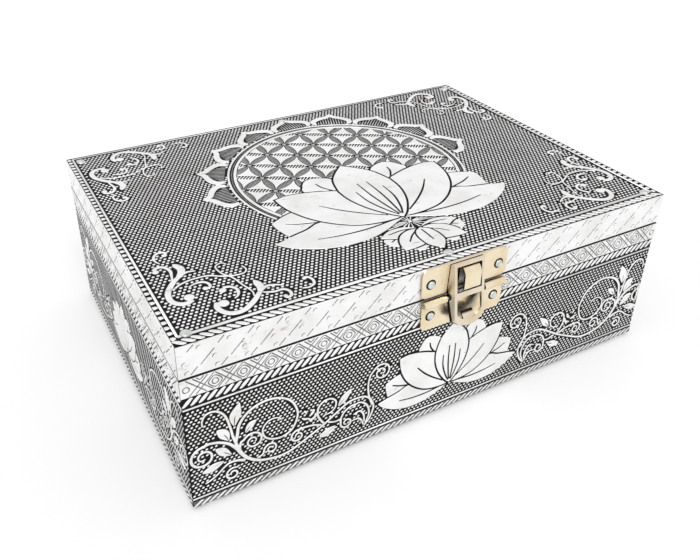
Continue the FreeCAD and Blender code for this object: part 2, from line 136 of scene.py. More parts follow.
LOTUS_MIDDLE = [(0, -39.5), (3.5, -36), (8.5, -28), (11.6, -19), (12.3, -11.5), (11.8, -7.5), (9.6, 0),
                (5.5, 5.7), (0, 11.2)]
LOTUS_MIDDLE_VEINS = ([(2.3, -7), (2.2, -20), (1.2, -31), (0.4, -37)],
                      [(6.5, -13.5), (6, -23), (3.4, -32), (0.8, -37.5)])
LOTUS = (LOTUS_PAIRS, LOTUS_MIDDLE, LOTUS_MIDDLE_VEINS, LOTUS_FOOT)

# The small flower that hangs below the lotus on the lid
DROP_FOOT = -49.8
DROP_PAIRS = (
    {"edges": ([(4, -57), (5, -62), (7, -64.2)],
               [(4, -57), (9, -61), (9.2, -63), (7, -64.2)]),
     "vein": None},
    {"edges": ([(9, -52), (14, -50.8), (17.2, -52), (17.4, -54.6)],
               [(9, -52), (13, -57), (16, -56.7), (17.4, -54.6)]),
     "vein": [(15.2, -54.2), (12, -52.6)]},
    {"edges": ([(0.8, -49.4), (5.4, -47), (9.4, -46.6), (13, -47.3), (17.4, -50)],
               [(0.8, -49.4), (6, -51.4), (11, -53), (14.5, -51.3), (17.4, -50)]),
     "vein": [(13.4, -49.2), (8, -48.5), (3, -49)]},
    {"edges": ([(0.4, -50), (5.2, -49.8), (9.2, -51.4), (11.6, -54), (13, -57), (13.6, -61.2)],
               [(0.4, -50), (2, -57), (4.4, -60.2), (8, -61.1), (11, -61.2), (13.6, -61.2)]),
     "vein": [(9, -57), (5.6, -53.4), (1.6, -50.6)]},
)
DROP_MIDDLE = [(0, -50), (2.6, -51.6), (3.8, -54.5), (4.1, -58), (3.4, -61.8), (0, -66)]
DROP_MIDDLE_VEINS = ([(0, -59.5), (0.1, -55), (0, -51)],)
DROP = (DROP_PAIRS, DROP_MIDDLE, DROP_MIDDLE_VEINS, DROP_FOOT)

# The calyx between the two flowers: the ends of the lines that fan out from it, and the area they take up
CALYX_LINE_ENDS = ((4.5, -42.8), (8, -44.2), (11, -45.7), (7.8, -45.3), (5, -44.9), (4, -46), (2.4, -46.7),
                   (6.4, -43.3), (5.2, -47), (3.2, -47.8), (1.5, -48.8), (2.2, -41.2), (0.7, -40.2))
CALYX_LINE = {"start": 0.25, "half_widths": [0.18, 0.36], "cover": [0.3] * 3, "shine": 0.75}
CALYX_MIDDLE = (0.5, -43.9)
CALYX_RADII = (0.9, 0.9)
CALYX_STEPS = 14
CALYX_AREA = [Vector(point) for point in ((-13, -46.8), (-5, -42.4), (0.7, -39.4), (6, -42.4), (14, -46.8),
                                          (5, -47.4), (0.7, -49.6), (-4, -47.4))]

# Places of the flowers: axis, height of the foot, the two scales, and the width of the cut lines
TOP_LOTUS = {"axis": 0.7, "foot": LOTUS_FOOT, "scales": (1.0, 1.0), "line": 1.0}
TOP_DROP = {"axis": 0.8, "foot": DROP_FOOT, "scales": (1.0, 1.0), "line": 0.84}
FRONT_LOTUS = {"axis": 2.0, "foot": 10.4, "scales": (0.612, 0.58), "line": 0.84}
END_LOTUS = {"axis": 0.0, "foot": 12.0, "scales": (0.4, 0.46), "line": 0.6}

# Half widths of a cut vein: at its start, then at its middle and end in shares of the width of the cut lines
VEIN_TIP = 0.3
VEIN_SHARES = (0.48, 0.42)

# The round grid behind the lotus: triangles between points, and two rings round it (radius, half width)
MANDALA_MIDDLE = Vector((1.2, 6.3))
MANDALA_RADIUS = 47.7
MANDALA_RINGS = ((48.8, 0.55), (51.6, 0.4))
RING_STEPS = 60
RING_COVER_STEPS = 90
GRID_SIDE = 13.66
GRID_ROW = GRID_SIDE * math.sqrt(0.75)
GRID_REACH = {"columns": 5, "rows": 8}
GRID_START = Vector((1.0, 10.3))
GRID_MARGIN = 0.1
TRIANGLE_STEPS = 6

# Hatching between the rings and in the grid: bars across the lenses between points, and a knot at each point
RING_HATCH = {"count": 180, "half_widths": [0.5, 0.5], "shine": 0.4}
HATCH_SHINE = 0.58
HATCH_GAP = 0.8
BAR_GAP = 0.35
BAR_LEAST = 0.3
BAR_STEPS = 3
FINE_BARS = {"reach": 5.6, "pitch": 0.88, "half_width": 0.22, "slant": 0.0, "shine": HATCH_SHINE}
BOLD_BARS = {"reach": 4.0, "pitch": 1.3, "half_width": 0.33, "slant": 0.35, "shine": 0.95}
GRID_KNOT = {"radii": (1.2, 1.2), "height": HATCH_HEIGHT * 0.8, "count": 12, "shine": 0.52}

# The crown of petals over the grid: left halves of its outlines, and hatching that ends along an arch
CROWN_STEP = math.radians(21.75)
CROWN_COUNT = 4
CROWN_OUTER = [(-9.4, 52.9), (-10.4, 55.5), (-9.3, 58.6), (-6.2, 61.0), (-2.6, 62.8), (0, 65.6)]
CROWN_INNER = [(-7.4, 52.6), (-7.8, 55.4), (-6.5, 57.5), (-4.0, 59.3), (-1.6, 60.6), (0, 62.2)]
CROWN_HATCH = {"lines": 5, "pitch": 1.3, "start": 53.2, "half_widths": [0.34, 0.2]}
CROWN_HATCH_ARCH = {"foot": 53.4, "rise": 7.6, "half_span": 7.8, "power": 1.7}

# Scrolls in a corner of the lid: distances from its two edges, and half widths at start, middle and end
CORNER_STROKES = (
    ([(19.8, 11.8), (18.8, 9.5), (19.3, 7), (21, 4.8), (23.8, 3.8), (26.5, 4.3), (29, 5.8), (31.5, 7.8),
      (33.5, 9.8), (35.5, 11.8), (38, 13), (40.5, 12.5), (43.3, 10.8)], (1.0, 0.95, 0.2)),
    ([(35.2, 11.6), (36, 14), (35.8, 16.5), (35.4, 18.4)], (1.0, 1.3, 0.15)),
    ([(35.3, 10.3), (39, 8.8), (42, 8.8), (43.5, 7), (43.3, 4.7), (41.8, 3.8), (40.9, 4.6)],
     (0.25, 0.55, 0.6)),
    ([(48, 6.2), (50.5, 5.7), (52.8, 6.8), (53.5, 9), (52.8, 11.2), (51.3, 11.7)], (0.2, 0.5, 0.6)),
    ([(25.8, 11.4), (27.3, 12.5), (28.3, 14.5), (28.3, 16.5), (26.8, 18.5), (24.5, 19)], (0.2, 0.55, 0.6)),
    ([(32, 9.8), (32.5, 12), (32, 14.5), (31, 18), (29.8, 23), (27.5, 27), (26.8, 31), (27.5, 32.8),
      (29.8, 33.5), (31, 31.8)], (0.25, 0.32, 0.25)),
    ([(9.2, 25.2), (12, 27.2), (16, 28.4), (20, 28.5), (23, 28), (27, 25.5), (31, 24), (34.5, 24), (36, 26),
      (35.4, 28.5)], (0.4, 0.34, 0.25)),
    ([(13.2, 17), (10.8, 16.2), (8.5, 17), (6.9, 19), (6.6, 21.5), (7.2, 24.5), (8.9, 27.3), (10.9, 29.8),
      (13.2, 31.8), (15.6, 33.3), (17.6, 33.6), (20, 33)], (0.9, 1.0, 0.2)),
    ([(13.6, 32), (15.3, 34.5), (15.8, 37), (14.7, 39.5), (14.2, 40.5)], (1.0, 1.3, 0.2)),
    ([(10.9, 30.5), (11.5, 33.5), (12.1, 36.5), (11.6, 39), (10.1, 40.8), (8.2, 40.8), (6.9, 39.7)],
     (0.25, 0.6, 0.7)),
    ([(10.3, 43), (9.3, 45.5), (9.6, 48), (11.3, 50), (13.5, 50), (14.7, 48.5)], (0.2, 0.5, 0.6)),
    ([(14.5, 24.6), (17, 25.6), (19.5, 25.5), (21, 24), (21.2, 22), (20, 20.6)], (0.2, 0.5, 0.5)),
)
CORNER_SHIFTS = {(-1, 1): (0.0, 0.0), (1, 1): (-1.2, 1.0), (-1, -1): (0.3, 4.2), (1, -1): (-1.2, 4.7)}
SCROLL_WIDENING = 1.3
CORNER_BULBS = (((21.5, 10.6), 2.2), ((12.7, 19), 2.15), ((23.9, 17.6), 1.5), ((7.4, 38.6), 1.4),
                ((13.5, 47.7), 1.2), ((19.3, 21.4), 1.2), ((41.2, 4.9), 0.95), ((51.3, 11.2), 0.95))
BULB_STEPS = 18

# Vines on the base: distance from the corner and height, half widths, and at the end of some a spiral, with
# its middle, its two radii, the angle in degrees that it starts at, and its turns
VINE_STEMS = (
    ([(6.1, 32.7), (6.2, 34.9), (7.4, 37.1), (9.7, 37.7), (11.9, 36.8), (13.8, 34.6), (14.9, 31.6),
      (15.8, 27.1), (16.3, 23.8), (17.2, 20.4), (18, 16.6)], (0.35, 0.5, 0.75), None),
    ([(17.2, 19.4), (18, 16.6), (19.7, 13.2), (21.9, 10.4), (25.8, 7.7), (30.2, 6.4), (34.1, 6), (38, 6.6),
      (42.4, 8.5), (46.9, 10.7), (50.8, 12.7), (54.7, 15.2), (58.6, 17.7), (61.9, 19.3), (65.2, 19.6),
      (68.6, 18.8), (70.8, 16.6), (72.2, 13.2), (71.9, 10.4), (70.5, 7.1), (68.4, 4.8)],
     (1.0, 0.5, 0.5), None),
    ([(20.2, 10.6), (17.4, 11.8), (14.7, 12.1), (12.4, 11), (10.2, 9.1), (7.4, 7.4), (5.2, 6.7)],
     (0.8, 0.45, 0.25), None),
    ([(18.3, 16), (16.9, 18.2), (14.7, 21), (11.3, 23.2), (8, 24.2)], (0.8, 0.6, 0.35),
     ((5.4, 18.9), (4.9, 0.9), 92, 1.6)),
    ([(18.6, 14.6), (18.5, 17.5), (19.2, 19.8)], (0.7, 0.5, 0.3), ((23.6, 18.2), (4.0, 0.8), 152, -1.55)),
    ([(17.2, 20.4), (18, 23.8), (18.6, 27.1), (20.2, 29.9), (23, 32.4), (26.9, 33.9), (30.8, 34.1),
      (34.7, 32.9), (38, 30.4), (39.9, 27.1), (40.8, 23.2), (39.9, 19.3), (38, 16.3), (34.7, 14.9),
      (31.3, 15.4), (28.6, 17.1), (27.4, 19.3), (27.4, 22.1), (29.1, 24.3), (31.3, 25), (33.6, 24.3),
      (34.4, 23.2)], (0.75, 0.5, 0.3), None),
    ([(24.6, 9.4), (26.6, 9.8)], (0.5, 0.45, 0.3), ((30.1, 11.4), (2.8, 0.7), 190, -1.35)),
    ([(17.9, 9.4)], (0.4, 0.5, 0.35), ((15.4, 6.4), (2.9, 0.7), 55, 1.4)),
    ([(50.2, 13.2), (46.9, 14.6), (43.6, 15.2)], (0.5, 0.5, 0.3), ((40.6, 12.3), (2.9, 0.8), 80, 1.3)),
    ([(51.3, 13.4), (49.7, 16), (48.7, 18.8), (49.1, 22.1), (51.3, 24.1), (54.1, 24.1), (56.1, 22.1),
      (55.8, 19.3), (54.1, 17.7), (51.3, 17.4)], (0.55, 0.5, 0.25), None),
    ([(64.7, 17.1), (62.4, 16.8), (59.7, 15.2), (58.3, 12.7)], (0.35, 0.5, 0.3),
     ((60.7, 9.6), (2.6, 0.7), 160, 1.3)),
    ([(63, 15.9), (65.8, 17.1), (68.6, 15.4), (70, 12.7), (70.3, 9.4), (68.8, 5.8)],
     (0.25, 0.5, 0.35), None),
    ([(63.6, 12.1), (66.3, 12.7), (68, 10.4), (68.4, 6.6)], (0.25, 0.5, 0.35), None),
    ([(63, 9.3), (65.8, 9.3), (67.4, 7.2), (68, 5.2)], (0.25, 0.5, 0.35), None),
    ([(53, 13.2), (56, 12.2), (58.4, 12.5)], (0.5, 0.4, 0.3), None),
    ([(71.6, 13.6), (70.2, 18.2), (69.7, 21.6), (69.7, 24.9), (70.4, 28.2)], (0.5, 0.45, 0.3),
     ((75.3, 27.9), (4.0, 0.9), 150, -1.6)),
)
VINE_LEAVES = (
    ([(17.1, 28.4), (17.4, 31.5), (18.2, 34), (19.5, 37.4)], (0.3, 2.0, 0.1)),
    ([(14.7, 22.8), (13.7, 25.2), (12.4, 27.2), (10.9, 28.6)], (0.25, 1.8, 0.3)),
    ([(15.2, 15.8), (13.2, 17.6), (11.6, 19.2), (10, 20.4)], (0.25, 1.6, 0.3)),
    ([(12.3, 13.9), (9.7, 13.3), (7.2, 12.4), (4.6, 12.1)], (0.2, 1.45, 0.2)),
    ([(21, 23.4), (22.2, 25), (23.4, 26.3), (25, 27.3)], (0.2, 1.25, 0.2)),
    ([(57.2, 19.4), (58.8, 21.2), (60.2, 22.9), (62.4, 25.1)], (0.2, 1.35, 0.25)),
    ([(55.9, 10.1), (54, 9.1), (51.8, 8.2), (49.5, 7.8)], (0.25, 1.5, 0.5)),
)
VINE_SEEDS = (
    ([(43.4, 22.9), (44.3, 21.3)], (0.5, 0.75, 0.3)),
    ([(47.2, 22.2), (46.6, 20.7), (45.4, 19.6)], (0.5, 0.75, 0.3)),
    ([(42.4, 19.9), (43.6, 19), (45, 18.8)], (0.25, 0.6, 0.3)),
    ([(48, 20), (47.4, 18.2), (45.2, 17.4)], (0.35, 0.7, 0.3)),
)

# Steps in a turn of a spiral, and the slit in a leaf: its share of the leaf's length, and its half widths
SPIRAL_STEPS = 22
SLIT_SHARE = 0.55
SLIT_WIDTHS = (0.12, 0.2, 0.06)

# What the long and the short sides of the base carry: vines reach in to vine_end, mirrored at vine_axis
# The short sides' dots and vines have lower shines: painted shade on those sides
LONG_SIDE = {"lotus": FRONT_LOTUS, "vine_end": math.inf, "vine_axis": 2.0, "painted_shade_vine_shine": 1.0,
             "painted_shade_dot_shine": 1.0}
SHORT_SIDE = {"lotus": END_LOTUS, "vine_end": 52.0, "vine_axis": 0.0, "painted_shade_vine_shine": 0.85,
              "painted_shade_dot_shine": 0.78}

# The frieze, a grid of diamonds with two rings in each (radius, and power: 2 is round, 1 is a diamond)
FRIEZE_CELL = 9.8
FRIEZE_RING_RISE = 3.3
FRIEZE_RINGS = ((2.4, 1.35), (1.1, 2.0))
FRIEZE_LINE_OFFSETS = (-0.8, 0.8)
FRIEZE_CHEVRON_OFFSET = 1.7
FRIEZE_MARGIN = 0.35
FRIEZE_RING_STEPS = 12

# The rim, with slanting strokes (place along and up, and reach) and small arcs, whose angles are half turns
RIM_CELL = 10.1
RIM_STROKES = ((0, 5.9, 2.4), (4.75, 10.9, 1.1), (5.45, 1.85, 1.2))
RIM_ARCS = ((2.6, 5.0), (7.7, 10.0), (3.3, 1.3))
RIM_ARC_RADIUS = 1.0
RIM_ARC_START = 0.3
RIM_ARC_SWEEP = 0.8
RIM_ARC_STEPS = 8
RIM_ARC_TIP = 0.06

# The bands that carry frieze and rim: edge, slope and half width of grooves, dark ground left bare under the
# lid as painted seam shadow, shine
BAND_EDGE = 0.12
BAND_SLOPE = 0.05
GROOVE_HALF_WIDTH = 0.24
SEAM_SHADE = 0.4
FRIEZE_SHINE = 0.38
RIM_SHINE = 0.4

# Nail heads of the catch and the dark discs of painted shadow in their holes, and the rounding of its edges
CATCH_NAIL_RADIUS = 1.6
CATCH_NAIL_HEIGHT = 0.45
CATCH_NAIL_EDGE = 0.22
CATCH_NAIL_SHIFT = (0.42, -0.42)
CATCH_NAIL_STEPS = 24
CATCH_HOLE_SHADOW_RADIUS = 2.05
CATCH_HOLE_SHADOW_DEPTH = 0.04
CATCH_HOLE_SHADOW_EDGE = 0.02
SOFT_EDGE = 0.15
SOFT_EDGE_ANGLE = math.radians(40)

# Cloth, in metres: the rounding of its edges, the depth of its dents, its cells, and dents to the metre
VELVET = {"edge": 0.45 * MM, "unevenness": 0.25 * MM}
FELT = {"edge": 0.2 * MM, "unevenness": 0.08 * MM}
CLOTH_CELL = 4 * MM
CLOTH_WAVES = 55

# The slant of the lever's back edge, and the depths from its pin (below zero in front) where its painted
# shadow starts and where it is full
LEVER_SLANT = math.radians(16)
LEVER_SHADOW_DEPTHS = (-0.8, -0.4)

# Cells of the grid that keeps dots off other ornament
CELL = 0.3

# Limits of the plane geometry: the shortest step, the sharpest corner of a grown outline, and merged points
SHORTEST_STEP = 1e-9
SHARPEST_CORNER = 0.5
MERGE_DISTANCE = 1e-4


def node_box(name):
    """The lowest and highest corner of a node, in millimetres."""
    low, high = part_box(name)
    return Vector(low) / MM, Vector(high) / MM


top_low, top_high = node_box("lid_top_sheet")
base_low, base_high = node_box("base_front_sheet")
rim_low, rim_high = node_box("lid_front_sheet")
half_width = top_high.x
half_depth = (top_high.y - top_low.y) / 2
middle_y = (top_high.y + top_low.y) / 2
field_z = base_low.z + STRIP_HEIGHT
sheet_thickness = base_high.y - base_low.y
frieze_high = base_high.z - field_z
rim_bottom = rim_low.z - field_z
rim_top = top_high.z - field_z


# Plane geometry of the outlines


def smooth(points, steps=6):
    """A smooth line through the points."""
    line = [Vector(point) for point in points]
    if len(line) < 3:
        return line
    ends = [2 * line[0] - line[1]] + line + [2 * line[-1] - line[-2]]
    made = []
    for a, b, c, d in zip(ends, ends[1:], ends[2:], ends[3:]):
        for step in range(steps):
            t = step / steps
            made.append(0.5 * (2 * b + (c - a) * t + (2 * a - 5 * b + 4 * c - d) * t * t
                               + (3 * b - a - 3 * c + d) * t ** 3))
    return made + [line[-1]]


def polar(middle, radius, angle):
    return Vector(middle) + radius * Vector((math.cos(angle), math.sin(angle)))


def spiral(middle, radii, start, turns):
    """Points that wind round a middle, from the first radius to the second."""
    count = int(abs(turns) * SPIRAL_STEPS)
    angles = [math.radians(start) + math.tau * turns * step / count for step in range(count + 1)]
    return [polar(middle, radii[0] + (radii[1] - radii[0]) * step / count, angle)
            for step, angle in enumerate(angles)]


def taper(count, widths):
    """Half widths along a stroke that has widths at its start, middle and end."""
    first, middle, last = widths
    made = []
    for index in range(count):
        t = 2 * index / max(count - 1, 1)
        from_width, to_width = (first, middle) if t < 1 else (middle, last)
        share = math.sin((t % 1 if t < 2 else 1) * math.pi / 2)
        share = share if t < 1 else 1 - math.sqrt(max(1 - share * share, 0))
        made.append(from_width + (to_width - from_width) * share)
    return made


def sides_of(line):
    """The unit vector to the right of a line at each of its points."""
    made = []
    for before, after in zip(line[:1] + line[:-1], line[1:] + line[-1:]):
        way = after - before
        way = way.normalized() if way.length > SHORTEST_STEP else Vector((1, 0))
        made.append(Vector((way.y, -way.x)))
    return made


def stroke_outline(line, half_widths):
    """The outline of a stroke along a line."""
    sides = sides_of(line)
    right = [point + side * half for point, side, half in zip(line, sides, half_widths)]
    left = [point - side * half for point, side, half in zip(line, sides, half_widths)]
    return right + left[::-1]


def counter_clockwise(outline):
    area = sum(a.x * b.y - b.x * a.y for a, b in zip(outline, outline[1:] + outline[:1]))
    return outline if area > 0 else outline[::-1]


def grown(outline, distance):
    """An outline moved outward, with its corners kept."""
    outline = counter_clockwise(outline)
    ways = [(after - point).normalized() for point, after in zip(outline, outline[1:] + outline[:1])]
    made = []
    for point, before, after in zip(outline, ways[-1:] + ways[:-1], ways):
        side = Vector((before.y + after.y, -before.x - after.x))
        made.append(point + side * distance / max(1 + before.dot(after), SHARPEST_CORNER))
    return made


def ring_halves(middle, radius, half_width, count, power=2.0):
    """A flat ring, as two half rings: round at a power of 2, and nearer to a diamond below that."""
    made = []
    for first in (0, math.pi):
        angles = [first + math.pi * step / count for step in range(count + 1)]
        radii = [radius * (abs(math.cos(a)) ** power + abs(math.sin(a)) ** power) ** (-1 / power)
                 for a in angles]
        outer = [polar(middle, r + half_width, angle) for r, angle in zip(radii, angles)]
        inner = [polar(middle, r - half_width, angle) for r, angle in zip(radii, angles)]
        made.append(outer + inner[::-1])
    return made


def circle(middle, radius, count):
    return [polar(middle, radius, math.tau * step / count) for step in range(count)]


def rectangle(u_low, u_high, v_low, v_high):
    corners = ((u_low, v_low), (u_high, v_low), (u_high, v_high), (u_low, v_high))
    return [Vector(corner) for corner in corners]


class Cover:
    """The part of a face that ornament takes up, as a set of small cells."""

    def __init__(self):
        self.cells = set()

    def stamp(self, place, radius):
        column = round(place.x / CELL)
        row = round(place.y / CELL)
        reach = int(radius / CELL) + 1
        limit = (radius / CELL) ** 2
        for i in range(-reach, reach + 1):
            for j in range(-reach, reach + 1):
                if i * i + j * j <= limit:
                    self.cells.add((column + i, row + j))

    def stroke(self, line, half_widths, margin):
        for point, half in zip(line, half_widths):
            self.stamp(point, half + margin)

    def area(self, outline, margin):
        edges = list(zip(outline, outline[1:] + outline[:1]))
        low = min(point.y for point in outline)
        high = max(point.y for point in outline)
        for row in range(math.ceil(low / CELL), math.floor(high / CELL) + 1):
            v = row * CELL
            cuts = sorted(a.x + (v - a.y) * (b.x - a.x) / (b.y - a.y)
                          for a, b in edges if (a.y > v) != (b.y > v))
            for first, last in zip(cuts[::2], cuts[1::2]):
                for column in range(math.ceil(first / CELL), math.floor(last / CELL) + 1):
                    self.cells.add((column, row))
        for a, b in edges:
            parts = int((b - a).length / CELL) + 1
            for part in range(parts):
                self.stamp(a.lerp(b, part / parts), margin)

    def holds(self, place):
        return (round(place.x / CELL), round(place.y / CELL)) in self.cells


class Relief:
    """Raised work on one face. The raised value of a point is 0 in the dark ground and 1 on bare metal."""

    # Across a ridge: shares of its half width and of its height, and raised values
    profile = ((-1, 0, 0), (-0.66, 0.78, 0.85), (0, 1, 1), (0.66, 0.78, 0.85), (1, 0, 0))
    # The brow of a dot: its share of the radii and of the height, and its raised value
    brow_share = 0.72
    brow_raised = 0.9
    # The shoulder of flat work: its shares of the slope and of the drop, and its raised value
    shoulder_share = 0.4
    shoulder_drop_share = 0.3
    shoulder_raised = 0.85

    def __init__(self):
        self.points = []
        self.raised = []
        self.faces = []
        self.is_smooth = []

    def point(self, place, h, raised):
        self.points.append((place[0], place[1], h))
        self.raised.append(raised)
        return len(self.points) - 1

    def face(self, corners, is_smooth=True):
        self.faces.append(corners)
        self.is_smooth.append(is_smooth)

    def loop(self, outline, h, raised):
        return [self.point(place, h, raised) for place in outline]

    def wall(self, low, high):
        """Faces between two loops that run counter-clockwise, the lower one outside."""
        for index in range(len(low)):
            after = (index + 1) % len(low)
            self.face((low[index], low[after], high[after], high[index]))

    def boss(self, place, radii, height, turn=0.0, count=8, shine=1.0):
        """A round raised dot."""
        along = Vector((math.cos(turn), math.sin(turn)))
        across = Vector((-along.y, along.x))
        angles = [math.tau * step / count for step in range(count)]
        spokes = [along * radii[0] * math.cos(angle) + across * radii[1] * math.sin(angle)
                  for angle in angles]
        foot = self.loop([place + spoke for spoke in spokes], -SINK, 0)
        brow = self.loop([place + spoke * self.brow_share for spoke in spokes], height * self.brow_share,
                         self.brow_raised * shine)
        tip = self.point(place, height, shine)
        self.wall(foot, brow)
        for index in range(count):
            self.face((brow[index], brow[(index + 1) % count], tip))
        self.face(foot[::-1], False)

    def ridge(self, line, half_widths, height, shine=1.0):
        """A rounded ridge along a line."""
        rows = []
        for place, side, half in zip(line, sides_of(line), half_widths):
            rows.append([self.point(place + side * across * half, height * rise - SINK * (rise == 0),
                                    shine * raised)
                         for across, rise, raised in self.profile])
        count = len(self.profile)
        for first, second in zip(rows, rows[1:]):
            for index in range(count):
                after = (index + 1) % count
                self.face((first[after], second[after], second[index], first[index]), after > 0)
        self.face(rows[0][::-1])
        self.face(rows[-1])

    def slab(self, outline, low, high, raised, edge):
        """A flat raised plate with a sloping edge."""
        foot = self.loop(outline, low, 0)
        brim = self.loop(grown(outline, -edge / 3), high - edge, raised)
        crown = self.loop(grown(outline, -edge), high, raised)
        self.wall(foot, brim)
        self.wall(brim, crown)
        self.face(crown, False)
        self.face(foot[::-1], False)

    def plateau(self, layers, low, high, slope, shine=1.0):
        """Flat raised work, painted in layers: each is an outline, and whether it is raised or cut away."""
        places = []
        outlines = []
        for outline, _ in layers:
            ordered = counter_clockwise(outline)
            outlines.append(list(range(len(places), len(places) + len(ordered))))
            places += ordered
        spots, _, parts, _, _, owners = delaunay_2d_cdt(places, [], outlines, 1, MERGE_DISTANCE)
        kept = [part for part, owner in zip(parts, owners) if owner and layers[max(owner)][1]]
        edges = {(a, b) for part in kept for a, b in zip(part, part[1:] + part[:1])}
        rim = [edge for edge in edges if edge[::-1] not in edges]
        outward = {}
        for a, b in rim:
            way = (spots[b] - spots[a]).normalized()
            for spot in (a, b):
                outward[spot] = outward.get(spot, Vector((0, 0))) + Vector((way.y, -way.x))
        top = {spot: self.point(spots[spot], high, shine) for part in kept for spot in part}
        middle = {}
        foot = {}
        for spot, way in outward.items():
            way = way.normalized()
            shoulder = high - (high - low) * self.shoulder_drop_share
            middle[spot] = self.point(spots[spot] + way * slope * self.shoulder_share, shoulder,
                                      self.shoulder_raised * shine)
            foot[spot] = self.point(spots[spot] + way * slope, low, 0)
        for part in kept:
            self.face([top[spot] for spot in part], False)
        for a, b in rim:
            self.face((middle[a], middle[b], top[b], top[a]))
            self.face((foot[a], foot[b], middle[b], middle[a]))

    def build(self, name, place, body, look="embossed_sheet"):
        """Makes the piece on its face of the box."""
        mesh = bpy.data.meshes.new(name)
        mesh.from_pydata([place @ Vector(point) for point in self.points], [], self.faces)
        mesh.polygons.foreach_set("use_smooth", self.is_smooth)
        layer = mesh.attributes.new("raised", "FLOAT", "POINT")
        layer.data.foreach_set("value", self.raised)
        mesh.materials.append(finish[look])
        return placed(name, mesh, body)


def placed(name, mesh, body):
    """An object of the mesh that rides on a body."""
    piece = bpy.data.objects.new(name, mesh)
    bpy.context.scene.collection.objects.link(piece)
    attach(piece, body)
    return piece


def face_place(origin, right, up):
    """Takes (u, v, h) in millimetres on a face to metres in the frame."""
    turn = Matrix((right, up, right.cross(up))).transposed().to_4x4()
    return Matrix.Scale(MM, 4) @ Matrix.Translation(origin) @ turn


X = Vector((1, 0, 0))
Y = Vector((0, 1, 0))
Z = Vector((0, 0, 1))
front_ground = top_low.y + RELIEF
back_ground = top_high.y - RELIEF
end_ground = half_width - RELIEF
TOP_PLACE = face_place(Vector((0, middle_y, top_high.z - RELIEF)), X, Y)
SIDES = {
    "front": (face_place(Vector((0, front_ground, field_z)), X, Z), half_width, LONG_SIDE),
    "back": (face_place(Vector((0, back_ground, field_z)), -X, Z), half_width, LONG_SIDE),
    "left": (face_place(Vector((-end_ground, middle_y, field_z)), -Y, Z), half_depth, SHORT_SIDE),
    "right": (face_place(Vector((end_ground, middle_y, field_z)), Y, Z), half_depth, SHORT_SIDE),
}


# Materials


class Shader:
    """A material's node tree, with short ways to add to it."""

    def __init__(self, name):
        self.material = bpy.data.materials.new(name)
        self.material.use_nodes = True
        self.tree = self.material.node_tree
        self.surface = self.tree.nodes["Principled BSDF"]
        self.places = self.add("TexCoord").outputs["Object"]

    def put(self, socket, value):
        if isinstance(value, bpy.types.NodeSocket):
            self.tree.links.new(value, socket)
        else:
            socket.default_value = value

    def add(self, kind, **inputs):
        made = self.tree.nodes.new("ShaderNode" + kind)
        for name, value in inputs.items():
            self.put(made.inputs[name.replace("_", " ")], value)
        return made

    def stretched(self, scales):
        return self.add("Mapping", Vector=self.places, Scale=scales).outputs[0]

    def speckle(self, scale, detail=3.0, roughness=0.55, places=None):
        """A noise from 0 to 1, whose spots are about 1 / scale metres wide."""
        made = self.add("TexNoise", Vector=places or self.places, Scale=scale, Detail=detail,
                        Roughness=roughness)
        return made.outputs[0]

    def ramp(self, value, low, high, to_low=0.0, to_high=1.0):
        made = self.add("MapRange", Value=value, From_Min=low, From_Max=high, To_Min=to_low, To_Max=to_high)
        made.interpolation_type = "SMOOTHSTEP"
        return made.outputs[0]

    def sum(self, first, second, factor):
        """The first value plus the second times a factor."""
        made = self.tree.nodes.new("ShaderNodeMath")
        made.operation = "MULTIPLY_ADD"
        self.put(made.inputs[0], second)
        self.put(made.inputs[1], factor)
        self.put(made.inputs[2], first)
        return made.outputs[0]

    def mix(self, share, first, second):
        """A mix of two colours. Its sockets go by number: other kinds of mix use the same names."""
        made = self.tree.nodes.new("ShaderNodeMix")
        made.data_type = "RGBA"
        self.put(made.inputs[0], share)
        self.put(made.inputs[6], first)
        self.put(made.inputs[7], second)
        return made.outputs[2]

    def depth(self, tilt):
        """How far back a place lies, in metres, on axes tilted about x."""
        turned = self.add("Mapping", Vector=self.places, Rotation=(tilt, 0, 0)).outputs[0]
        return self.add("SeparateXYZ", Vector=turned).outputs["Y"]

    def crevices(self, distance):
        """0 deep in a corner, 1 on an open face."""
        made = self.add("AmbientOcclusion", Distance=distance)
        made.samples = 12
        return made.outputs["AO"]

    def bump(self, height, distance, strength=1.0):
        made = self.add("Bump", Height=height, Distance=distance, Strength=strength)
        self.put(self.surface.inputs["Normal"], made.outputs[0])

    def set(self, **inputs):
        for name, value in inputs.items():
            self.put(self.surface.inputs[name.replace("_", " ")], value)
        return self.material


def grey(level, warmth=0.0):
    return (level, level * (1 - warmth / 2), level * (1 - warmth), 1)


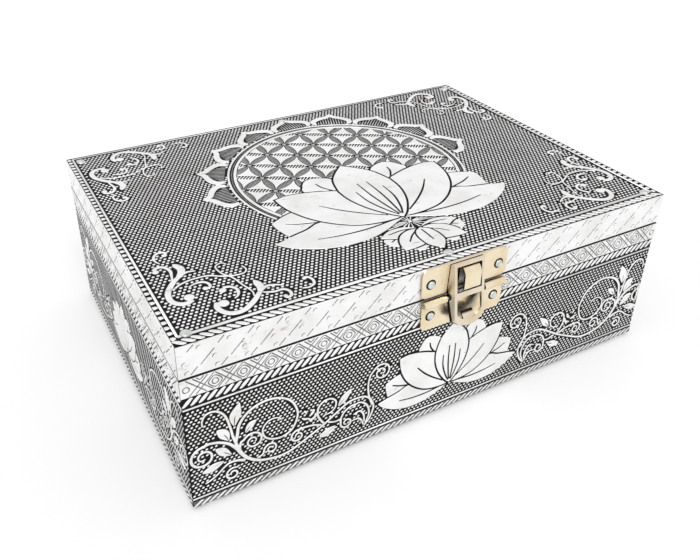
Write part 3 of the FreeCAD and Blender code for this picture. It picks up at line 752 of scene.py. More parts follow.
def embossed_sheet():
    """Thin white metal with a black patina that is rubbed off wherever the sheet stands out."""
    shader = Shader("embossed_sheet")
    raised = shader.add("Attribute")
    raised.attribute_name = "raised"
    rub = shader.speckle(1700, 4)
    worn = shader.ramp(shader.sum(raised.outputs["Fac"], rub, 0.3), 0.42, 0.82)
    clouds = shader.speckle(70, 4)
    grain = shader.speckle(900, 5, 0.65)
    bright = shader.mix(shader.ramp(clouds, 0.35, 0.7), grey(0.9), grey(0.8, 0.02))
    bright = shader.mix(shader.ramp(grain, 0.56, 0.82, 0, 0.35), bright, grey(0.5))
    stains = shader.ramp(shader.speckle(42, 6, 0.7), 0.57, 0.76, 0, 0.45)
    bright = shader.mix(stains, bright, (0.62, 0.56, 0.45, 1))
    scratches = shader.ramp(shader.speckle(260, 2, 0.5, shader.stretched((1, 9, 9))), 0.7, 0.78, 0, 0.3)
    bright = shader.mix(scratches, bright, grey(0.4))
    scuffs = shader.ramp(shader.speckle(95, 5, 0.75, shader.stretched((1, 2.5, 2.5))), 0.61, 0.69, 0, 0.55)
    bright = shader.mix(scuffs, bright, (0.3, 0.28, 0.25, 1))
    dark = shader.mix(shader.ramp(grain, 0.4, 0.75), grey(0.009), grey(0.026))
    rough = shader.sum(shader.ramp(worn, 0, 1, 0.62, 0.34), grain, 0.12)
    shader.bump(grain, 0.00004, 0.5)
    return shader.set(Base_Color=shader.mix(worn, dark, bright), Roughness=rough,
                      Metallic=shader.ramp(worn, 0, 1, 0.1, 0.8),
                      Specular_IOR_Level=shader.ramp(worn, 0, 1, 0.06, 0.25))


def pale_brass(name, light, deep, painted_shadow_depths=None):
    """Stamped pale brass plating, a little tarnished, with painted shade that darkens its corners and
    crevices.
    """
    shader = Shader(name)
    clouds = shader.speckle(120, 4)
    grain = shader.speckle(2600, 3)
    color = shader.mix(shader.ramp(clouds, 0.35, 0.7), light, deep)
    tarnish = shader.ramp(shader.speckle(420, 6, 0.7), 0.62, 0.8, 0, 0.5)
    color = shader.mix(tarnish, color, (0.36, 0.25, 0.14, 1))
    # Painted shade: the colour goes to dark brown in corners and crevices, where ambient occlusion is low
    near = shader.ramp(shader.crevices(0.0025), 0.42, 0.62)
    painted_crevice_shade = shader.sum(0.0, near, shader.ramp(shader.crevices(0.008), 0.3, 0.72, 0.1, 1))
    shade = (0.022, 0.012, 0.006, 1)
    color = shader.mix(painted_crevice_shade, shade, color)
    # Painted shadow: darker towards the lever's back edge, standing for the shade in the gap behind it
    if painted_shadow_depths:
        color = shader.mix(shader.ramp(shader.depth(LEVER_SLANT), *painted_shadow_depths), color, shade)
    rough = shader.sum(shader.ramp(clouds, 0.3, 0.7, 0.16, 0.26), grain, 0.08)
    shader.bump(grain, 0.00001, 0.15)
    return shader.set(Base_Color=color, Roughness=rough, Metallic=1.0)


def lever_brass():
    """Greyer brass, with painted shadow towards the back edge, where the lever stands off the plates."""
    pin_low, pin_high = node_box("clasp_pin")
    pivot = (pin_low + pin_high) / 2
    pin_depth = pivot.y * math.cos(LEVER_SLANT) - pivot.z * math.sin(LEVER_SLANT)
    painted_shadow_depths = [(pin_depth + depth) * MM for depth in LEVER_SHADOW_DEPTHS]
    return pale_brass("lever_brass", (0.77, 0.69, 0.56, 1), (0.7, 0.59, 0.43, 1), painted_shadow_depths)


def zinc(name, light, dark):
    """Plain plated steel, for nails and pins."""
    shader = Shader(name)
    clouds = shader.speckle(500, 4)
    grain = shader.speckle(3500, 3)
    color = shader.mix(shader.ramp(clouds, 0.35, 0.7), light, dark)
    rough = shader.sum(shader.ramp(clouds, 0.3, 0.7, 0.28, 0.4), grain, 0.1)
    shader.bump(grain, 0.00002, 0.4)
    return shader.set(Base_Color=color, Roughness=rough, Metallic=0.9)


def stained_wood(name, scales):
    """Brown wood with its grain along one way."""
    shader = Shader(name)
    places = shader.stretched(scales)
    figure = shader.speckle(60, 5, 0.6, places)
    pores = shader.speckle(700, 4, 0.7, places)
    color = shader.mix(shader.ramp(figure, 0.3, 0.7), (0.2, 0.1, 0.048, 1), (0.34, 0.19, 0.1, 1))
    color = shader.mix(shader.ramp(pores, 0.55, 0.75, 0, 0.6), color, (0.08, 0.038, 0.02, 1))
    rough = shader.ramp(pores, 0.3, 0.8, 0.45, 0.7)
    shader.bump(pores, 0.00008, 0.6)
    return shader.set(Base_Color=color, Roughness=rough)


def cloth(name, deep, light, sheen, scale):
    """Napped cloth, such as velvet or felt."""
    shader = Shader(name)
    nap = shader.speckle(scale, 4, 0.7)
    brushed = shader.speckle(28, 3)
    color = shader.mix(shader.ramp(brushed, 0.35, 0.65), deep, light)
    color = shader.mix(shader.ramp(nap, 0.45, 0.75, 0, 0.6), color, light)
    shader.bump(nap, 0.0002, 0.8)
    rough = shader.ramp(nap, 0.2, 0.8, 0.75, 0.95)
    return shader.set(Base_Color=color, Roughness=rough, Sheen_Weight=sheen, Sheen_Roughness=0.4,
                      Sheen_Tint=light, Specular_IOR_Level=0.1)


finish = {
    "embossed_sheet": embossed_sheet(),
    "brass": pale_brass("pale_brass", (0.86, 0.75, 0.56, 1), (0.78, 0.64, 0.43, 1)),
    "lever_brass": lever_brass(),
    "nail": zinc("bright_zinc", (0.7, 0.73, 0.7, 1), (0.5, 0.53, 0.5, 1)),
    "steel": zinc("plain_steel", (0.5, 0.49, 0.47, 1), (0.34, 0.33, 0.31, 1)),
    # A near-black finish for the discs of painted shadow in the catch's nail holes
    "painted_hole_shadow": zinc("painted_hole_shadow", (0.02, 0.017, 0.014, 1), (0.008, 0.007, 0.006, 1)),
    "foot_metal": zinc("foot_metal", (0.72, 0.7, 0.65, 1), (0.5, 0.48, 0.44, 1)),
    "wood_x": stained_wood("wood_along_x", (0.06, 1, 1)),
    "wood_y": stained_wood("wood_along_y", (1, 0.06, 1)),
    "velvet": cloth("red_velvet", (0.1, 0.004, 0.008, 1), (0.22, 0.014, 0.022, 1), 0.7, 1800),
    "felt": cloth("dark_felt", (0.02, 0.02, 0.022, 1), (0.05, 0.05, 0.055, 1), 0.3, 900),
}


# Ornament


def field_of_dots(relief, cover, dots, u_low, u_high, v_low, v_high, shine=1.0):
    """Staggered rows of dots over a field, wherever nothing covers it."""
    rows = int((v_high - v_low) / dots["row"])
    columns = int((u_high - u_low) / dots["pitch"]) + 1
    spare = (u_high - u_low - (columns - 1) * dots["pitch"]) / 2
    for row in range(rows + 1):
        v = v_low + row * dots["row"]
        for column in range(columns):
            u = u_low + spare + (column + 0.5 * (row % 2)) * dots["pitch"]
            place = Vector((u, v))
            if u <= u_high and not cover.holds(place):
                relief.boss(place, dots["radii"], DOT_HEIGHT, dots["turn"], shine=shine)


def rope(relief, start, end, size, shine=1.0):
    """A row of slanting beads, like a laid rope, that ends where the line ends."""
    along = (Vector(end) - Vector(start)).normalized()
    across = Vector((-along.y, along.x))
    lean = size["pitch"] * size["lean"]
    reach = lean * ROPE_SHARES[-1][0]
    first = Vector(start) + along * reach
    last = Vector(end) - along * reach
    count = round((last - first).length / size["pitch"])
    for index in range(count + 1):
        middle = first.lerp(last, index / count)
        spots = [middle + along * lean * a + across * size["half_width"] * b for a, b in ROPE_SHARES]
        line = smooth(spots, 2)
        relief.ridge(line, taper(len(line), (ROPE_TIP, size["bead"], ROPE_TIP)), RIDGE_HEIGHT, shine)


def plain_line(relief, start, end, half_width=LINE_HALF_WIDTH):
    line = [Vector(start), Vector(end)]
    relief.ridge(line, [half_width] * 2, RIDGE_HEIGHT)


def flower_layers(pairs, middle, middle_veins, foot, place):
    """Layers of a flower: each petal is raised, with a cut line round it and a cut vein."""
    layers = []
    line = place["line"]
    vein_widths = (VEIN_TIP, line * VEIN_SHARES[0], line * VEIN_SHARES[1])

    def moved(points, mirror):
        return [Vector((place["axis"] + mirror * u * place["scales"][0],
                        place["foot"] + (v - foot) * place["scales"][1])) for u, v in points]

    def add(edges, veins, mirror):
        outline = smooth(moved(edges[0], mirror)) + smooth(moved(edges[1], mirror))[-2:0:-1]
        layers.append((grown(outline, line), False))
        layers.append((counter_clockwise(outline), True))
        for vein in veins:
            path = smooth(moved(vein, mirror))
            layers.append((stroke_outline(path, taper(len(path), vein_widths)), False))

    for pair in pairs:
        for mirror in (-1, 1):
            add(pair["edges"], [pair["vein"]] if pair["vein"] else [], mirror)
    other = [(-u, v) for u, v in middle]
    mirrored_veins = [[(-u, v) for u, v in vein] for vein in middle_veins if vein[0][0]]
    add((middle, other), list(middle_veins) + mirrored_veins, 1)
    return layers


def raise_flowers(relief, layers):
    """Petals and leaves, over a dark bed that keeps the lines cut in them shallow."""
    bed = [(grown(outline, -BED_INSET), True) for outline, is_raised in layers if is_raised]
    relief.plateau(bed, -SINK, PETAL_HEIGHT - LINE_DEPTH, BED_SLOPE, 0)
    relief.plateau(layers, -SINK, PETAL_HEIGHT, PETAL_SLOPE)


def cover_layers(cover, layers, margin):
    for outline, is_raised in layers:
        if is_raised:
            cover.area(outline, margin)


def draw_stroke(relief, cover, points, widths, margin, limit, shine=1.0):
    """A ridge along a smooth line, as far as the face goes."""
    half_widths = taper(len(points), widths)
    cover.stroke(points, half_widths, margin)
    inside = [(point, half) for point, half in zip(points, half_widths) if abs(point.x) + half < limit]
    if len(inside) > 1:
        relief.ridge([point for point, _ in inside], [half for _, half in inside], RIDGE_HEIGHT, shine)


def add_vines(stems, leaves, cover, half, mirror, margin, look):
    """One half of the vines on a side: stems and seeds as ridges, leaves as raised work with a slit."""
    shift = 2 * look["vine_axis"] if mirror > 0 else 0
    end = look["vine_end"]
    # On the short sides this shine is lowered as painted shade
    shine = look["painted_shade_vine_shine"]
    limit = half - RELIEF
    layers = []

    def at(point):
        return Vector((mirror * (half - point[0]) + shift, point[1]))

    for points, widths, curl in VINE_STEMS:
        line = [point for point in points if point[0] <= end]
        if curl and curl[0][0] > end or not line:
            continue
        path = smooth([at(point) for point in line])
        if curl:
            path += [at(point) for point in spiral(*curl)]
        draw_stroke(stems, cover, path, widths, margin, limit, shine)
    for points, widths in VINE_SEEDS:
        if points[0][0] <= end:
            draw_stroke(stems, cover, smooth([at(point) for point in points]), widths, margin, limit, shine)
    for points, widths in VINE_LEAVES:
        if points[0][0] <= end:
            path = smooth([at(point) for point in points])
            outline = stroke_outline(path, taper(len(path), widths))
            cover.area(outline, margin)
            layers.append((outline, True))
            slit = path[:int(len(path) * SLIT_SHARE)]
            layers.append((stroke_outline(slit, taper(len(slit), SLIT_WIDTHS)), False))
    leaves += [layer for layer in layers if all(abs(point.x) < limit for point in layer[0])]


def ground(name, node, place, body, outline):
    """The sunken ground of a sheet, slightly uneven, which stands for the sheet's node."""
    relief = Relief()
    u_low, v_low = outline[0]
    width = outline[2].x - u_low
    height = outline[2].y - v_low
    columns = round(width / GROUND_CELL)
    rows = max(round(height / GROUND_CELL), 1)
    front = {}
    back = {}
    for row in range(rows + 1):
        for column in range(columns + 1):
            spot = Vector((u_low + width * column / columns, v_low + height * row / rows))
            on_edge = row in (0, rows) or column in (0, columns)
            wave = noise.noise(Vector((spot.x / GROUND_WAVE, spot.y / GROUND_WAVE, len(name))))
            level = -GROUND_EDGE_DEPTH if on_edge else SINK * GROUND_WAVE_SHARE * (wave - 1)
            front[row, column] = relief.point(spot, level, 0)
            back[row, column] = relief.point(spot, RELIEF - sheet_thickness, 0)
    for row in range(rows):
        for column in range(columns):
            ring = [(row, column), (row, column + 1), (row + 1, column + 1), (row + 1, column)]
            relief.face([front[corner] for corner in ring])
            relief.face([back[corner] for corner in ring[::-1]], False)
    around = ([(0, column) for column in range(columns + 1)]
              + [(row, columns) for row in range(1, rows + 1)]
              + [(rows, column) for column in range(columns - 1, -1, -1)]
              + [(row, 0) for row in range(rows - 1, 0, -1)])
    relief.wall([back[corner] for corner in around], [front[corner] for corner in around])
    piece = relief.build(name, place, body)
    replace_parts(piece, node)


def groove(start, end):
    line = [Vector(start), Vector(end)]
    return (stroke_outline(line, [GROOVE_HALF_WIDTH] * 2), False)


def clipped_diagonal(u, v, way, low, high):
    """A line at 45 degrees through a place, cut to a band."""
    return (u + way * (low - v), low), (u + way * (high - v), high)


def band(name, place, body, half, low, high, cuts, shine):
    """A bright band with shallow grooves."""
    relief = Relief()
    outline = rectangle(-half, half, low, high)
    relief.slab(outline, -SINK, BAND_FLOOR, shine, BAND_EDGE)
    layers = [(grown(outline, -BAND_EDGE), True)]
    inside = [cut for cut in cuts if all(abs(point.x) < half - 2 * BAND_EDGE for point in cut[0])]
    relief.plateau(layers + inside, BAND_FLOOR - SINK / 3, RELIEF, BAND_SLOPE)
    relief.build(name, place, body)


def frieze_cuts(half, low, high):
    """Diamonds with rings in each, and chevrons between them."""
    cuts = []
    ring_v = low + FRIEZE_RING_RISE
    foot = low + FRIEZE_MARGIN
    head = high - FRIEZE_MARGIN
    tip = ring_v + FRIEZE_CHEVRON_OFFSET * math.sqrt(2)
    count = math.ceil(2 * half / FRIEZE_CELL)
    half_cell = FRIEZE_CELL / 2
    for index in range(count):
        u = (index - (count - 1) / 2) * FRIEZE_CELL
        for radius, power in FRIEZE_RINGS:
            rings = ring_halves((u, ring_v), radius, GROOVE_HALF_WIDTH, FRIEZE_RING_STEPS, power)
            cuts += [(ring, False) for ring in rings]
        for way in (-1, 1):
            corner = u - way * half_cell
            for offset in FRIEZE_LINE_OFFSETS:
                place = (corner + offset * math.sqrt(2), ring_v)
                cuts.append(groove(*clipped_diagonal(*place, way, foot, head)))
            start = (u + half_cell, tip)
            cuts.append(groove(start, (start[0] + way * (head - tip), head)))
    return cuts


def rim_cuts(half):
    """Broken slanting strokes, with a small arc in each gap."""
    cuts = []
    turns = [RIM_ARC_START + RIM_ARC_SWEEP * step / RIM_ARC_STEPS for step in range(RIM_ARC_STEPS + 1)]
    half_widths = taper(len(turns), (RIM_ARC_TIP, GROOVE_HALF_WIDTH, RIM_ARC_TIP))
    count = math.ceil(2 * half / RIM_CELL) + 1
    for index in range(count):
        u = -half + index * RIM_CELL
        for along, rise, reach in RIM_STROKES:
            v = rim_bottom + rise
            cuts.append(groove((u + along - reach, v - reach), (u + along + reach, v + reach)))
        for along, rise in RIM_ARCS:
            middle = (u + along, rim_bottom + rise)
            arc = [polar(middle, RIM_ARC_RADIUS, math.pi * turn) for turn in turns]
            cuts.append((stroke_outline(arc, half_widths), False))
    return cuts


def side_reaches(half):
    """How far the ground and the bands of a side go: the long sides cover the edges of the short ones."""
    if half == half_width:
        return half - RELIEF, half
    return half - sheet_thickness, half - RELIEF


def dress_base_side(side):
    """The ground, field, borders, frieze, flower and vines on one side of the base."""
    place, half, look = SIDES[side]
    limit, reach = side_reaches(half)
    dots = SIDE_DOTS
    margin = max(dots["radii"]) + dots["gap"]
    ground(f"base_{side}_ground", f"base_{side}_sheet", place, "base",
           rectangle(-limit, limit, -STRIP_HEIGHT, frieze_high))

    cover = Cover()
    layers = flower_layers(*LOTUS, look["lotus"])
    cover_layers(cover, layers, margin)
    stems = Relief()
    for mirror in (-1, 1):
        add_vines(stems, layers, cover, half, mirror, margin, look)
    stems.build(f"base_{side}_vines", place, "base")
    flowers = Relief()
    raise_flowers(flowers, layers)
    flowers.build(f"base_{side}_flowers", place, "base")

    field = Relief()
    field_end = limit - max(dots["radii"])
    # On the short sides the dots are dimmed as painted shade
    field_of_dots(field, cover, dots, -field_end, field_end, FIELD_LOW, FIELD_HIGH, look["painted_shade_dot_shine"])
    field.build(f"base_{side}_dots", place, "base")

    border = Relief()
    for v in (FOOT_LINE, HEAD_LINE):
        plain_line(border, (-limit, v), (limit, v))
    rope(border, (-limit, ROPE_MIDDLE), (limit, ROPE_MIDDLE), BASE_ROPE)
    # The strip and its rope are dimmed as painted shade, where the sheet bends under the box
    border.slab(rectangle(-limit, limit, -STRIP_HEIGHT, 0), -SINK, STRIP_FLOOR, STRIP_SHADED_SHINE, STRIP_EDGE)
    strip_middle = -STRIP_HEIGHT / 2
    rope(border, (-limit, strip_middle), (limit, strip_middle), FOOT_ROPE, FOOT_ROPE_SHADED_SHINE)
    border.build(f"base_{side}_borders", place, "base")

    # The frieze stops short of the lid, leaving dark ground as painted seam shadow
    frieze_top = frieze_high - SEAM_SHADE
    band(f"base_{side}_frieze", place, "base", reach, FRIEZE_LOW, frieze_top,
         frieze_cuts(reach, FRIEZE_LOW, frieze_top), FRIEZE_SHINE)


def dress_lid_side(side):
    """The ground and the bright rim on one side of the lid."""
    place, half, _ = SIDES[side]
    limit, reach = side_reaches(half)
    ground(f"lid_{side}_ground", f"lid_{side}_sheet", place, "lid",
           rectangle(-limit, limit, rim_bottom, rim_high.z - field_z))
    band(f"lid_{side}_rim", place, "lid", reach, rim_bottom, rim_top, rim_cuts(reach), RIM_SHINE)


def concave_triangle(corners):
    """A triangle with its sides curved in, between three points of the round grid."""
    middle = (corners[0] + corners[1] + corners[2]) / 3
    radius = GRID_SIDE + GRID_MARGIN
    shift = math.sqrt(radius ** 2 - GRID_SIDE ** 2)
    outline = []
    for index in range(3):
        first, second, third = (corners[(index + step) % 3] for step in range(3))
        start = first + shift * (middle - first).normalized()
        end = second + shift * (middle - second).normalized()
        bow = first + second - third
        for step in range(TRIANGLE_STEPS):
            outline.append(bow + (start.lerp(end, step / TRIANGLE_STEPS) - bow).normalized() * radius)
    return outline


def mandala_grid():
    """The points of the round grid, and the two steps to its neighbours."""
    up = Vector((0, GRID_SIDE))
    over = Vector((GRID_ROW, GRID_SIDE / 2))
    points = []
    for column in range(-GRID_REACH["columns"], GRID_REACH["columns"] + 1):
        for row in range(-GRID_REACH["rows"], GRID_REACH["rows"] + 1):
            point = GRID_START + column * over + row * up
            if (point - MANDALA_MIDDLE).length < MANDALA_RADIUS + GRID_SIDE:
                points.append(point)
    return points, up, over


def grid_layers(points, up, over):
    """The triangles of the round grid, cut off outside its rim."""
    layers = []
    for point in points:
        for corners in ((point, point + over, point + up), (point, point + over - up, point + over)):
            if any((corner - MANDALA_MIDDLE).length < MANDALA_RADIUS for corner in corners):
                layers.append((concave_triangle(corners), True))
    rim = MANDALA_RADIUS + GRID_SIDE
    layers += [(ring, False) for ring in ring_halves(MANDALA_MIDDLE, rim, GRID_SIDE, RING_STEPS)]
    return layers


def add_crown(layers, hatching, cover, margin):
    """Petals round the upper part of the round grid, with hatching in each."""
    arch = CROWN_HATCH_ARCH
    for index in range(-CROWN_COUNT, CROWN_COUNT + 1):
        turn = Matrix.Rotation(index * CROWN_STEP, 2)
        shapes = []
        for half in (CROWN_OUTER, CROWN_INNER):
            left = smooth(half)
            whole = left + [Vector((-point.x, point.y)) for point in left[-2::-1]]
            shapes.append([MANDALA_MIDDLE + turn @ point for point in whole])
        outer, inner = shapes
        layers += [(outer, True), (inner, False)]
        cover.area(outer, margin)
        for line in range(-CROWN_HATCH["lines"], CROWN_HATCH["lines"] + 1):
            u = CROWN_HATCH["pitch"] * line
            end = arch["foot"] + arch["rise"] * (1 - (abs(u) / arch["half_span"]) ** arch["power"])
            path = [MANDALA_MIDDLE + turn @ Vector((u, v)) for v in (CROWN_HATCH["start"], end)]
            hatching.ridge(path, CROWN_HATCH["half_widths"], HATCH_HEIGHT, HATCH_SHINE)


def add_rings(layers, hatching, taken):
    """The two rings round the grid, with hatching between them wherever no petal lies."""
    for radius, half in MANDALA_RINGS:
        layers += [(ring, True) for ring in ring_halves(MANDALA_MIDDLE, radius, half, RING_STEPS)]
    between = (MANDALA_RINGS[0][0] + MANDALA_RINGS[1][0]) / 2
    spots = circle(MANDALA_MIDDLE, between, RING_HATCH["count"])
    for first, second in zip(spots, spots[1:] + spots[:1]):
        if not taken.holds(first) and not taken.holds(second):
            hatching.ridge([first, second], RING_HATCH["half_widths"], HATCH_HEIGHT, RING_HATCH["shine"])


def add_mandala(cover, flowers, margin):
    """The round grid behind the lotus, with its rings and its crown of petals."""
    points, up, over = mandala_grid()
    layers = grid_layers(points, up, over)
    hatching = Relief()
    taken = Cover()
    cover_layers(taken, flowers, HATCH_GAP)
    taken.area(CALYX_AREA, 0)
    add_crown(layers, hatching, cover, margin)
    add_rings(layers, hatching, taken)
    for point in points:
        for way, bars in ((up, FINE_BARS), (over, FINE_BARS), (over - up, BOLD_BARS)):
            add_ladder(hatching, taken, point, way, bars)
        if (point - MANDALA_MIDDLE).length < MANDALA_RADIUS and not taken.holds(point):
            hatching.boss(point, **GRID_KNOT)
    cover.area(circle(MANDALA_MIDDLE, sum(MANDALA_RINGS[-1]), RING_COVER_STEPS), margin)
    relief = Relief()
    cut_away = [(outline, False) for outline, is_raised in flowers if not is_raised]
    cut_away.append((CALYX_AREA, False))
    relief.plateau(layers + cut_away, -SINK, MANDALA_HEIGHT, MANDALA_SLOPE)
    relief.build("lid_top_mandala", TOP_PLACE, "lid")
    hatching.build("lid_top_hatching", TOP_PLACE, "lid")


def add_ladder(hatching, taken, point, way, bars):
    """Short bars across the lens between two neighbouring points of the round grid."""
    along = way.normalized()
    across = Vector((-along.y, along.x)) + along * bars["slant"]
    reach = int(bars["reach"] / bars["pitch"])
    for bar in range(-reach, reach + 1):
        d = bar * bars["pitch"]
        half = math.sqrt(GRID_SIDE ** 2 - d ** 2) - GRID_ROW - BAR_GAP
        middle = point + way / 2 + along * d
        spots = [middle + across * half * step / BAR_STEPS for step in range(-BAR_STEPS, BAR_STEPS + 1)]
        clear = [spot for spot in spots
                 if not taken.holds(spot) and (spot - MANDALA_MIDDLE).length < MANDALA_RINGS[0][0]]
        if half > BAR_LEAST and len(clear) > 1:
            hatching.ridge([clear[0], clear[-1]], [bars["half_width"]] * 2, HATCH_HEIGHT, bars["shine"])


def add_corner_scrolls(cover, margin):
    """The same scrolls in each corner of the lid, mirrored."""
    scrolls = Relief()
    for across in (-1, 1):
        for along in (-1, 1):
            shift = CORNER_SHIFTS[across, along]

            def at(point):
                return Vector((across * (half_width - point[0] - shift[0]),
                               along * (half_depth - point[1] - shift[1])))

            for points, widths in CORNER_STROKES:
                path = smooth([at(point) for point in points])
                wider = [SCROLL_WIDENING * width for width in widths]
                draw_stroke(scrolls, cover, path, wider, margin, half_width)
            for middle, radius in CORNER_BULBS:
                scrolls.boss(at(middle), (radius, radius), RIDGE_HEIGHT, count=BULB_STEPS)
                cover.stamp(at(middle), radius + margin)
    scrolls.build("lid_top_scrolls", TOP_PLACE, "lid")


def add_top_borders():
    """Rope and line along the four edges of the lid."""
    borders = Relief()
    u = half_width - END_LINE_INSET
    front_v = TOP_LINE_INSET - half_depth
    back_v = half_depth - BACK_LINE_INSET
    plain_line(borders, (-u, front_v), (u, front_v), TOP_LINE_HALF_WIDTHS["front"])
    plain_line(borders, (-u, back_v), (u, back_v), TOP_LINE_HALF_WIDTHS["back"])
    limit = half_width - RELIEF
    rope_v = TOP_ROPE_INSET - half_depth
    rope(borders, (-limit, rope_v), (limit, rope_v), TOP_ROPE)
    for side in (-1, 1):
        plain_line(borders, (side * u, front_v), (side * u, back_v), TOP_LINE_HALF_WIDTHS["end"])
        rope_u = side * (half_width - END_ROPE_INSET)
        rope(borders, (rope_u, END_ROPE_GAPS["front"] - half_depth),
             (rope_u, half_depth - END_ROPE_GAPS["back"]), END_ROPE)
    borders.build("lid_top_borders", TOP_PLACE, "lid")


def add_calyx(relief, cover, margin):
    """The knot between the lotus and the small flower, with lines that fan out from it."""
    middle = Vector(CALYX_MIDDLE)
    cover.area(CALYX_AREA, 0)
    relief.boss(middle, CALYX_RADII, RIDGE_HEIGHT, count=CALYX_STEPS)
    for u, v in CALYX_LINE_ENDS:
        for mirror in (-1, 1):
            end = Vector((middle.x + mirror * u, v))
            line = [middle.lerp(end, CALYX_LINE["start"]), end]
            relief.ridge(line, CALYX_LINE["half_widths"], HATCH_HEIGHT, CALYX_LINE["shine"])
            cover.stroke([middle, middle.lerp(end, 0.5), end], CALYX_LINE["cover"], margin)


def add_nail_seats(cover, margin):
    """Raised seats in the sheet for the nails along the lid's front and back edges."""
    low, high = node_box("lid_sheet_nails")
    seats = Relief()
    for y in (low.y + NAIL_SEAT_RADIUS, high.y - NAIL_SEAT_RADIUS):
        for x in (low.x + NAIL_SEAT_RADIUS, 0, high.x - NAIL_SEAT_RADIUS):
            middle = Vector((x, y - middle_y))
            rim = circle(middle, NAIL_SEAT_RADIUS, NAIL_SEAT_STEPS)
            seats.slab(rim, -SINK, RELIEF, 1, NAIL_SEAT_EDGE)
            cover.stamp(middle, NAIL_SEAT_RADIUS + margin)
    seats.build("lid_top_nail_seats", TOP_PLACE, "lid")


def dress_lid_top():
    """The ground, field, borders, flowers and scrolls on top of the lid."""
    dots = TOP_DOTS
    margin = max(dots["radii"]) + dots["gap"]
    limit_u = half_width - RELIEF
    limit_v = half_depth - RELIEF
    ground("lid_top_ground", "lid_top_sheet", TOP_PLACE, "lid",
           rectangle(-limit_u, limit_u, -limit_v, limit_v))
    cover = Cover()
    flowers = flower_layers(*DROP, TOP_DROP) + flower_layers(*LOTUS, TOP_LOTUS)
    cover_layers(cover, flowers, margin)
    relief = Relief()
    raise_flowers(relief, flowers)
    add_calyx(relief, cover, margin)
    relief.build("lid_top_lotus", TOP_PLACE, "lid")

    add_mandala(cover, flowers, margin)
    add_corner_scrolls(cover, margin)
    add_top_borders()
    add_nail_seats(cover, margin)
    u = half_width - END_LINE_INSET - TOP_FIELD_GAPS["end"]
    v_low = TOP_LINE_INSET + TOP_FIELD_GAPS["front"] - half_depth
    v_high = half_depth - BACK_LINE_INSET - TOP_FIELD_GAPS["back"]
    for name, low, high in (("left", -u, 0), ("right", dots["pitch"] / 2, u)):
        field = Relief()
        field_of_dots(field, cover, dots, low, high, v_low, v_high)
        field.build(f"lid_top_dots_{name}", TOP_PLACE, "lid")


# Cloth inside and under the box


def soft_panel(node, body, slot, edge, unevenness):
    """A cloth panel in the place of a node: rounded edges, and a slightly uneven face."""
    low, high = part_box(node)
    low = Vector(low)
    high = Vector(high)
    size = high - low
    mesh_maker = bmesh.new()
    bmesh.ops.create_cube(mesh_maker, size=1)
    for vert in mesh_maker.verts:
        vert.co = Vector(low[axis] + (vert.co[axis] + 0.5) * size[axis] for axis in range(3))
    bmesh.ops.bevel(mesh_maker, geom=mesh_maker.edges[:], offset=edge, segments=3, affect="EDGES")
    for axis in range(3):
        for cut in range(1, int(size[axis] / CLOTH_CELL)):
            normal = Vector([float(axis == other) for other in range(3)])
            place = low + normal * cut * CLOTH_CELL
            everything = mesh_maker.verts[:] + mesh_maker.edges[:] + mesh_maker.faces[:]
            bmesh.ops.bisect_plane(mesh_maker, geom=everything, plane_co=place, plane_no=normal)
    centre = (low + high) / 2
    thin = min(range(3), key=lambda axis: size[axis])
    for vert in mesh_maker.verts:
        dent = unevenness * (0.5 + 0.5 * noise.noise(vert.co * CLOTH_WAVES))
        side = math.copysign(1, vert.co[thin] - centre[thin])
        vert.co[thin] -= side * dent
    mesh = bpy.data.meshes.new(node + "_cloth")
    mesh_maker.to_mesh(mesh)
    mesh_maker.free()
    mesh.polygons.foreach_set("use_smooth", [True] * len(mesh.polygons))
    mesh.materials.append(finish[slot])
    piece = placed(node + "_cloth", mesh, body)
    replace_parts(piece, node)
    return piece, size


def add_cloth():
    """Velvet inside the base and the lid, and felt under the base."""
    panels = [("lining_" + side, "base") for side in ("floor", "front", "back", "left", "right")]
    panels += [("lid_lining_" + side, "lid") for side in ("top", "front", "back", "left", "right")]
    for node, body in panels:
        piece, _ = soft_panel(node, body, "velvet", **VELVET)
    piece, size = soft_panel("base_felt", "base", "felt", **FELT)


# The catch and the pieces that keep their own shape


def add_catch_nails():
    """Nail heads, driven in a little to one side of their holes, over dark discs of painted shadow in the
    holes.
    """
    for node, body in (("clasp_lid_nails", "lid"), ("clasp_base_nails", "base")):
        low, high = node_box(node)
        radius = (high.z - low.z) / 2
        heads = Relief()
        seats = Relief()
        for x in (low.x + radius, high.x - radius):
            hole = Vector((x, (low.z + high.z) / 2))
            middle = hole + Vector(CATCH_NAIL_SHIFT)
            head = circle(middle, CATCH_NAIL_RADIUS, CATCH_NAIL_STEPS)
            heads.slab(head, 0, CATCH_NAIL_HEIGHT, 1, CATCH_NAIL_EDGE)
            # A near-black disc in each hole is painted shadow; it shows as a crescent beside the shifted head
            rim = circle(hole, CATCH_HOLE_SHADOW_RADIUS, CATCH_NAIL_STEPS)
            seats.slab(rim, -CATCH_HOLE_SHADOW_DEPTH, 0, 0, CATCH_HOLE_SHADOW_EDGE)
        place = face_place(Vector((0, low.y + CATCH_NAIL_HEIGHT, 0)), X, Z)
        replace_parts(heads.build(node + "_heads", place, body, "nail"), node)
        seats.build(node + "_seats", place, body, "painted_hole_shadow")


def soften_edges(piece):
    """Takes the sharp edge off a stamped piece."""
    bevel = piece.modifiers.new("soft_edges", "BEVEL")
    bevel.width = SOFT_EDGE * MM
    bevel.segments = 2
    bevel.limit_method = "ANGLE"
    bevel.angle_limit = SOFT_EDGE_ANGLE


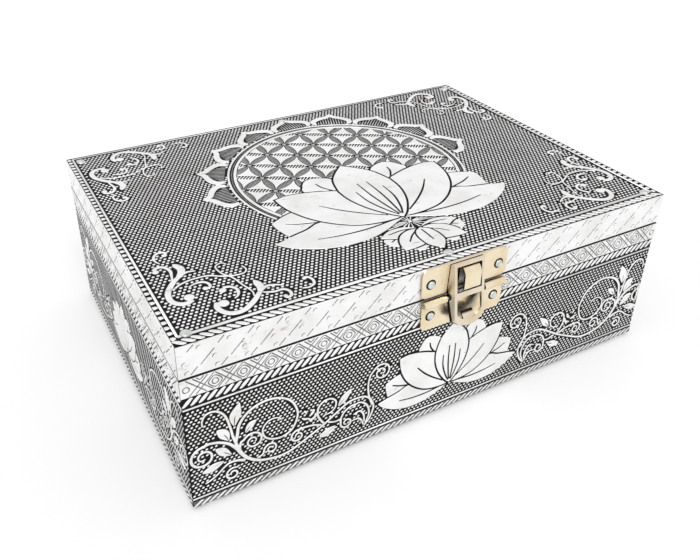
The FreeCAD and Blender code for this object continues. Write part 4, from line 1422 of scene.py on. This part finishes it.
def finish_of(name):
    """The material of a node that keeps its own shape, or none."""
    if name.endswith(("_panel", "_rail")):
        is_end = name.startswith(("base_left", "base_right", "lid_left", "lid_right"))
        return finish["wood_y" if is_end else "wood_x"]
    if name.startswith("foot_"):
        return finish["foot_metal"]
    if name.endswith("_nails"):
        return finish["nail"]
    if name.endswith("_pin"):
        return finish["steel"]
    if name == "clasp_lever":
        return finish["lever_brass"]
    if name.startswith(("clasp_", "hinge_")):
        return finish["brass"]
    return None


def finish_nodes():
    """Gives the nodes that keep their own shape their materials, and the brass ones soft edges."""
    for name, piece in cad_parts.items():
        material = finish_of(name)
        if material:
            piece.data.materials.clear()
            piece.data.materials.append(material)
        if material in (finish["brass"], finish["lever_brass"]):
            soften_edges(piece)


# Camera, floor and light


def set_camera(scene):
    """A camera where the photo was taken from."""
    lens = bpy.data.cameras.new("camera")
    lens.sensor_width = 36
    lens.lens = 39.24
    lens.shift_x = 0.0458
    lens.shift_y = -0.0842
    camera = bpy.data.objects.new("camera", lens)
    camera.location = (-0.150918, -0.252296, 0.21886)
    camera.rotation_euler = [math.radians(angle) for angle in (60.1902, 0.0558, -27.9690)]
    scene.collection.objects.link(camera)
    scene.camera = camera


def add_floor(scene):
    """A wide white floor under the box."""
    reach = 3.0
    mesh = bpy.data.meshes.new("floor")
    mesh.from_pydata([(-reach, -reach, 0), (reach, -reach, 0), (reach, reach, 0), (-reach, reach, 0)], [],
                     [(0, 1, 2, 3)])
    shader = Shader("floor")
    shade = shader.mix(shader.ramp(shader.speckle(3), 0.3, 0.7), grey(0.93), grey(0.95))
    mesh.materials.append(shader.set(Base_Color=shade, Roughness=0.9, Specular_IOR_Level=0.1))
    floor = bpy.data.objects.new("floor", mesh)
    scene.collection.objects.link(floor)


def add_sun(scene):
    """A broad key light from the left and above."""
    sun = bpy.data.lights.new("key", "SUN")
    sun.energy = 1.7
    sun.angle = math.radians(35)
    lamp = bpy.data.objects.new("key", sun)
    lamp.rotation_euler = [math.radians(angle) for angle in (40, 0, -20)]
    scene.collection.objects.link(lamp)


def set_world(scene):
    """White all round: full strength to the camera and in reflections, a little less as light."""
    world = bpy.data.worlds.new("world")
    world.use_nodes = True
    scene.world = world
    tree = world.node_tree
    surround = tree.nodes["Background"]
    surround.inputs["Color"].default_value = (1, 1, 1, 1)
    path = tree.nodes.new("ShaderNodeLightPath")
    seen = tree.nodes.new("ShaderNodeMath")
    seen.operation = "MAXIMUM"
    tree.links.new(path.outputs["Is Camera Ray"], seen.inputs[0])
    tree.links.new(path.outputs["Is Glossy Ray"], seen.inputs[1])
    level = tree.nodes.new("ShaderNodeMapRange")
    level.inputs["To Min"].default_value = 0.7
    level.inputs["To Max"].default_value = 1.0
    tree.links.new(seen.outputs[0], level.inputs["Value"])
    tree.links.new(level.outputs[0], surround.inputs["Strength"])


def set_stage():
    scene = bpy.context.scene
    scene.view_settings.view_transform = "Standard"
    set_camera(scene)
    add_floor(scene)
    add_sun(scene)
    set_world(scene)


set_stage()
for side_name in SIDES:
    dress_base_side(side_name)
    dress_lid_side(side_name)
dress_lid_top()
add_cloth()
add_catch_nails()
finish_nodes()
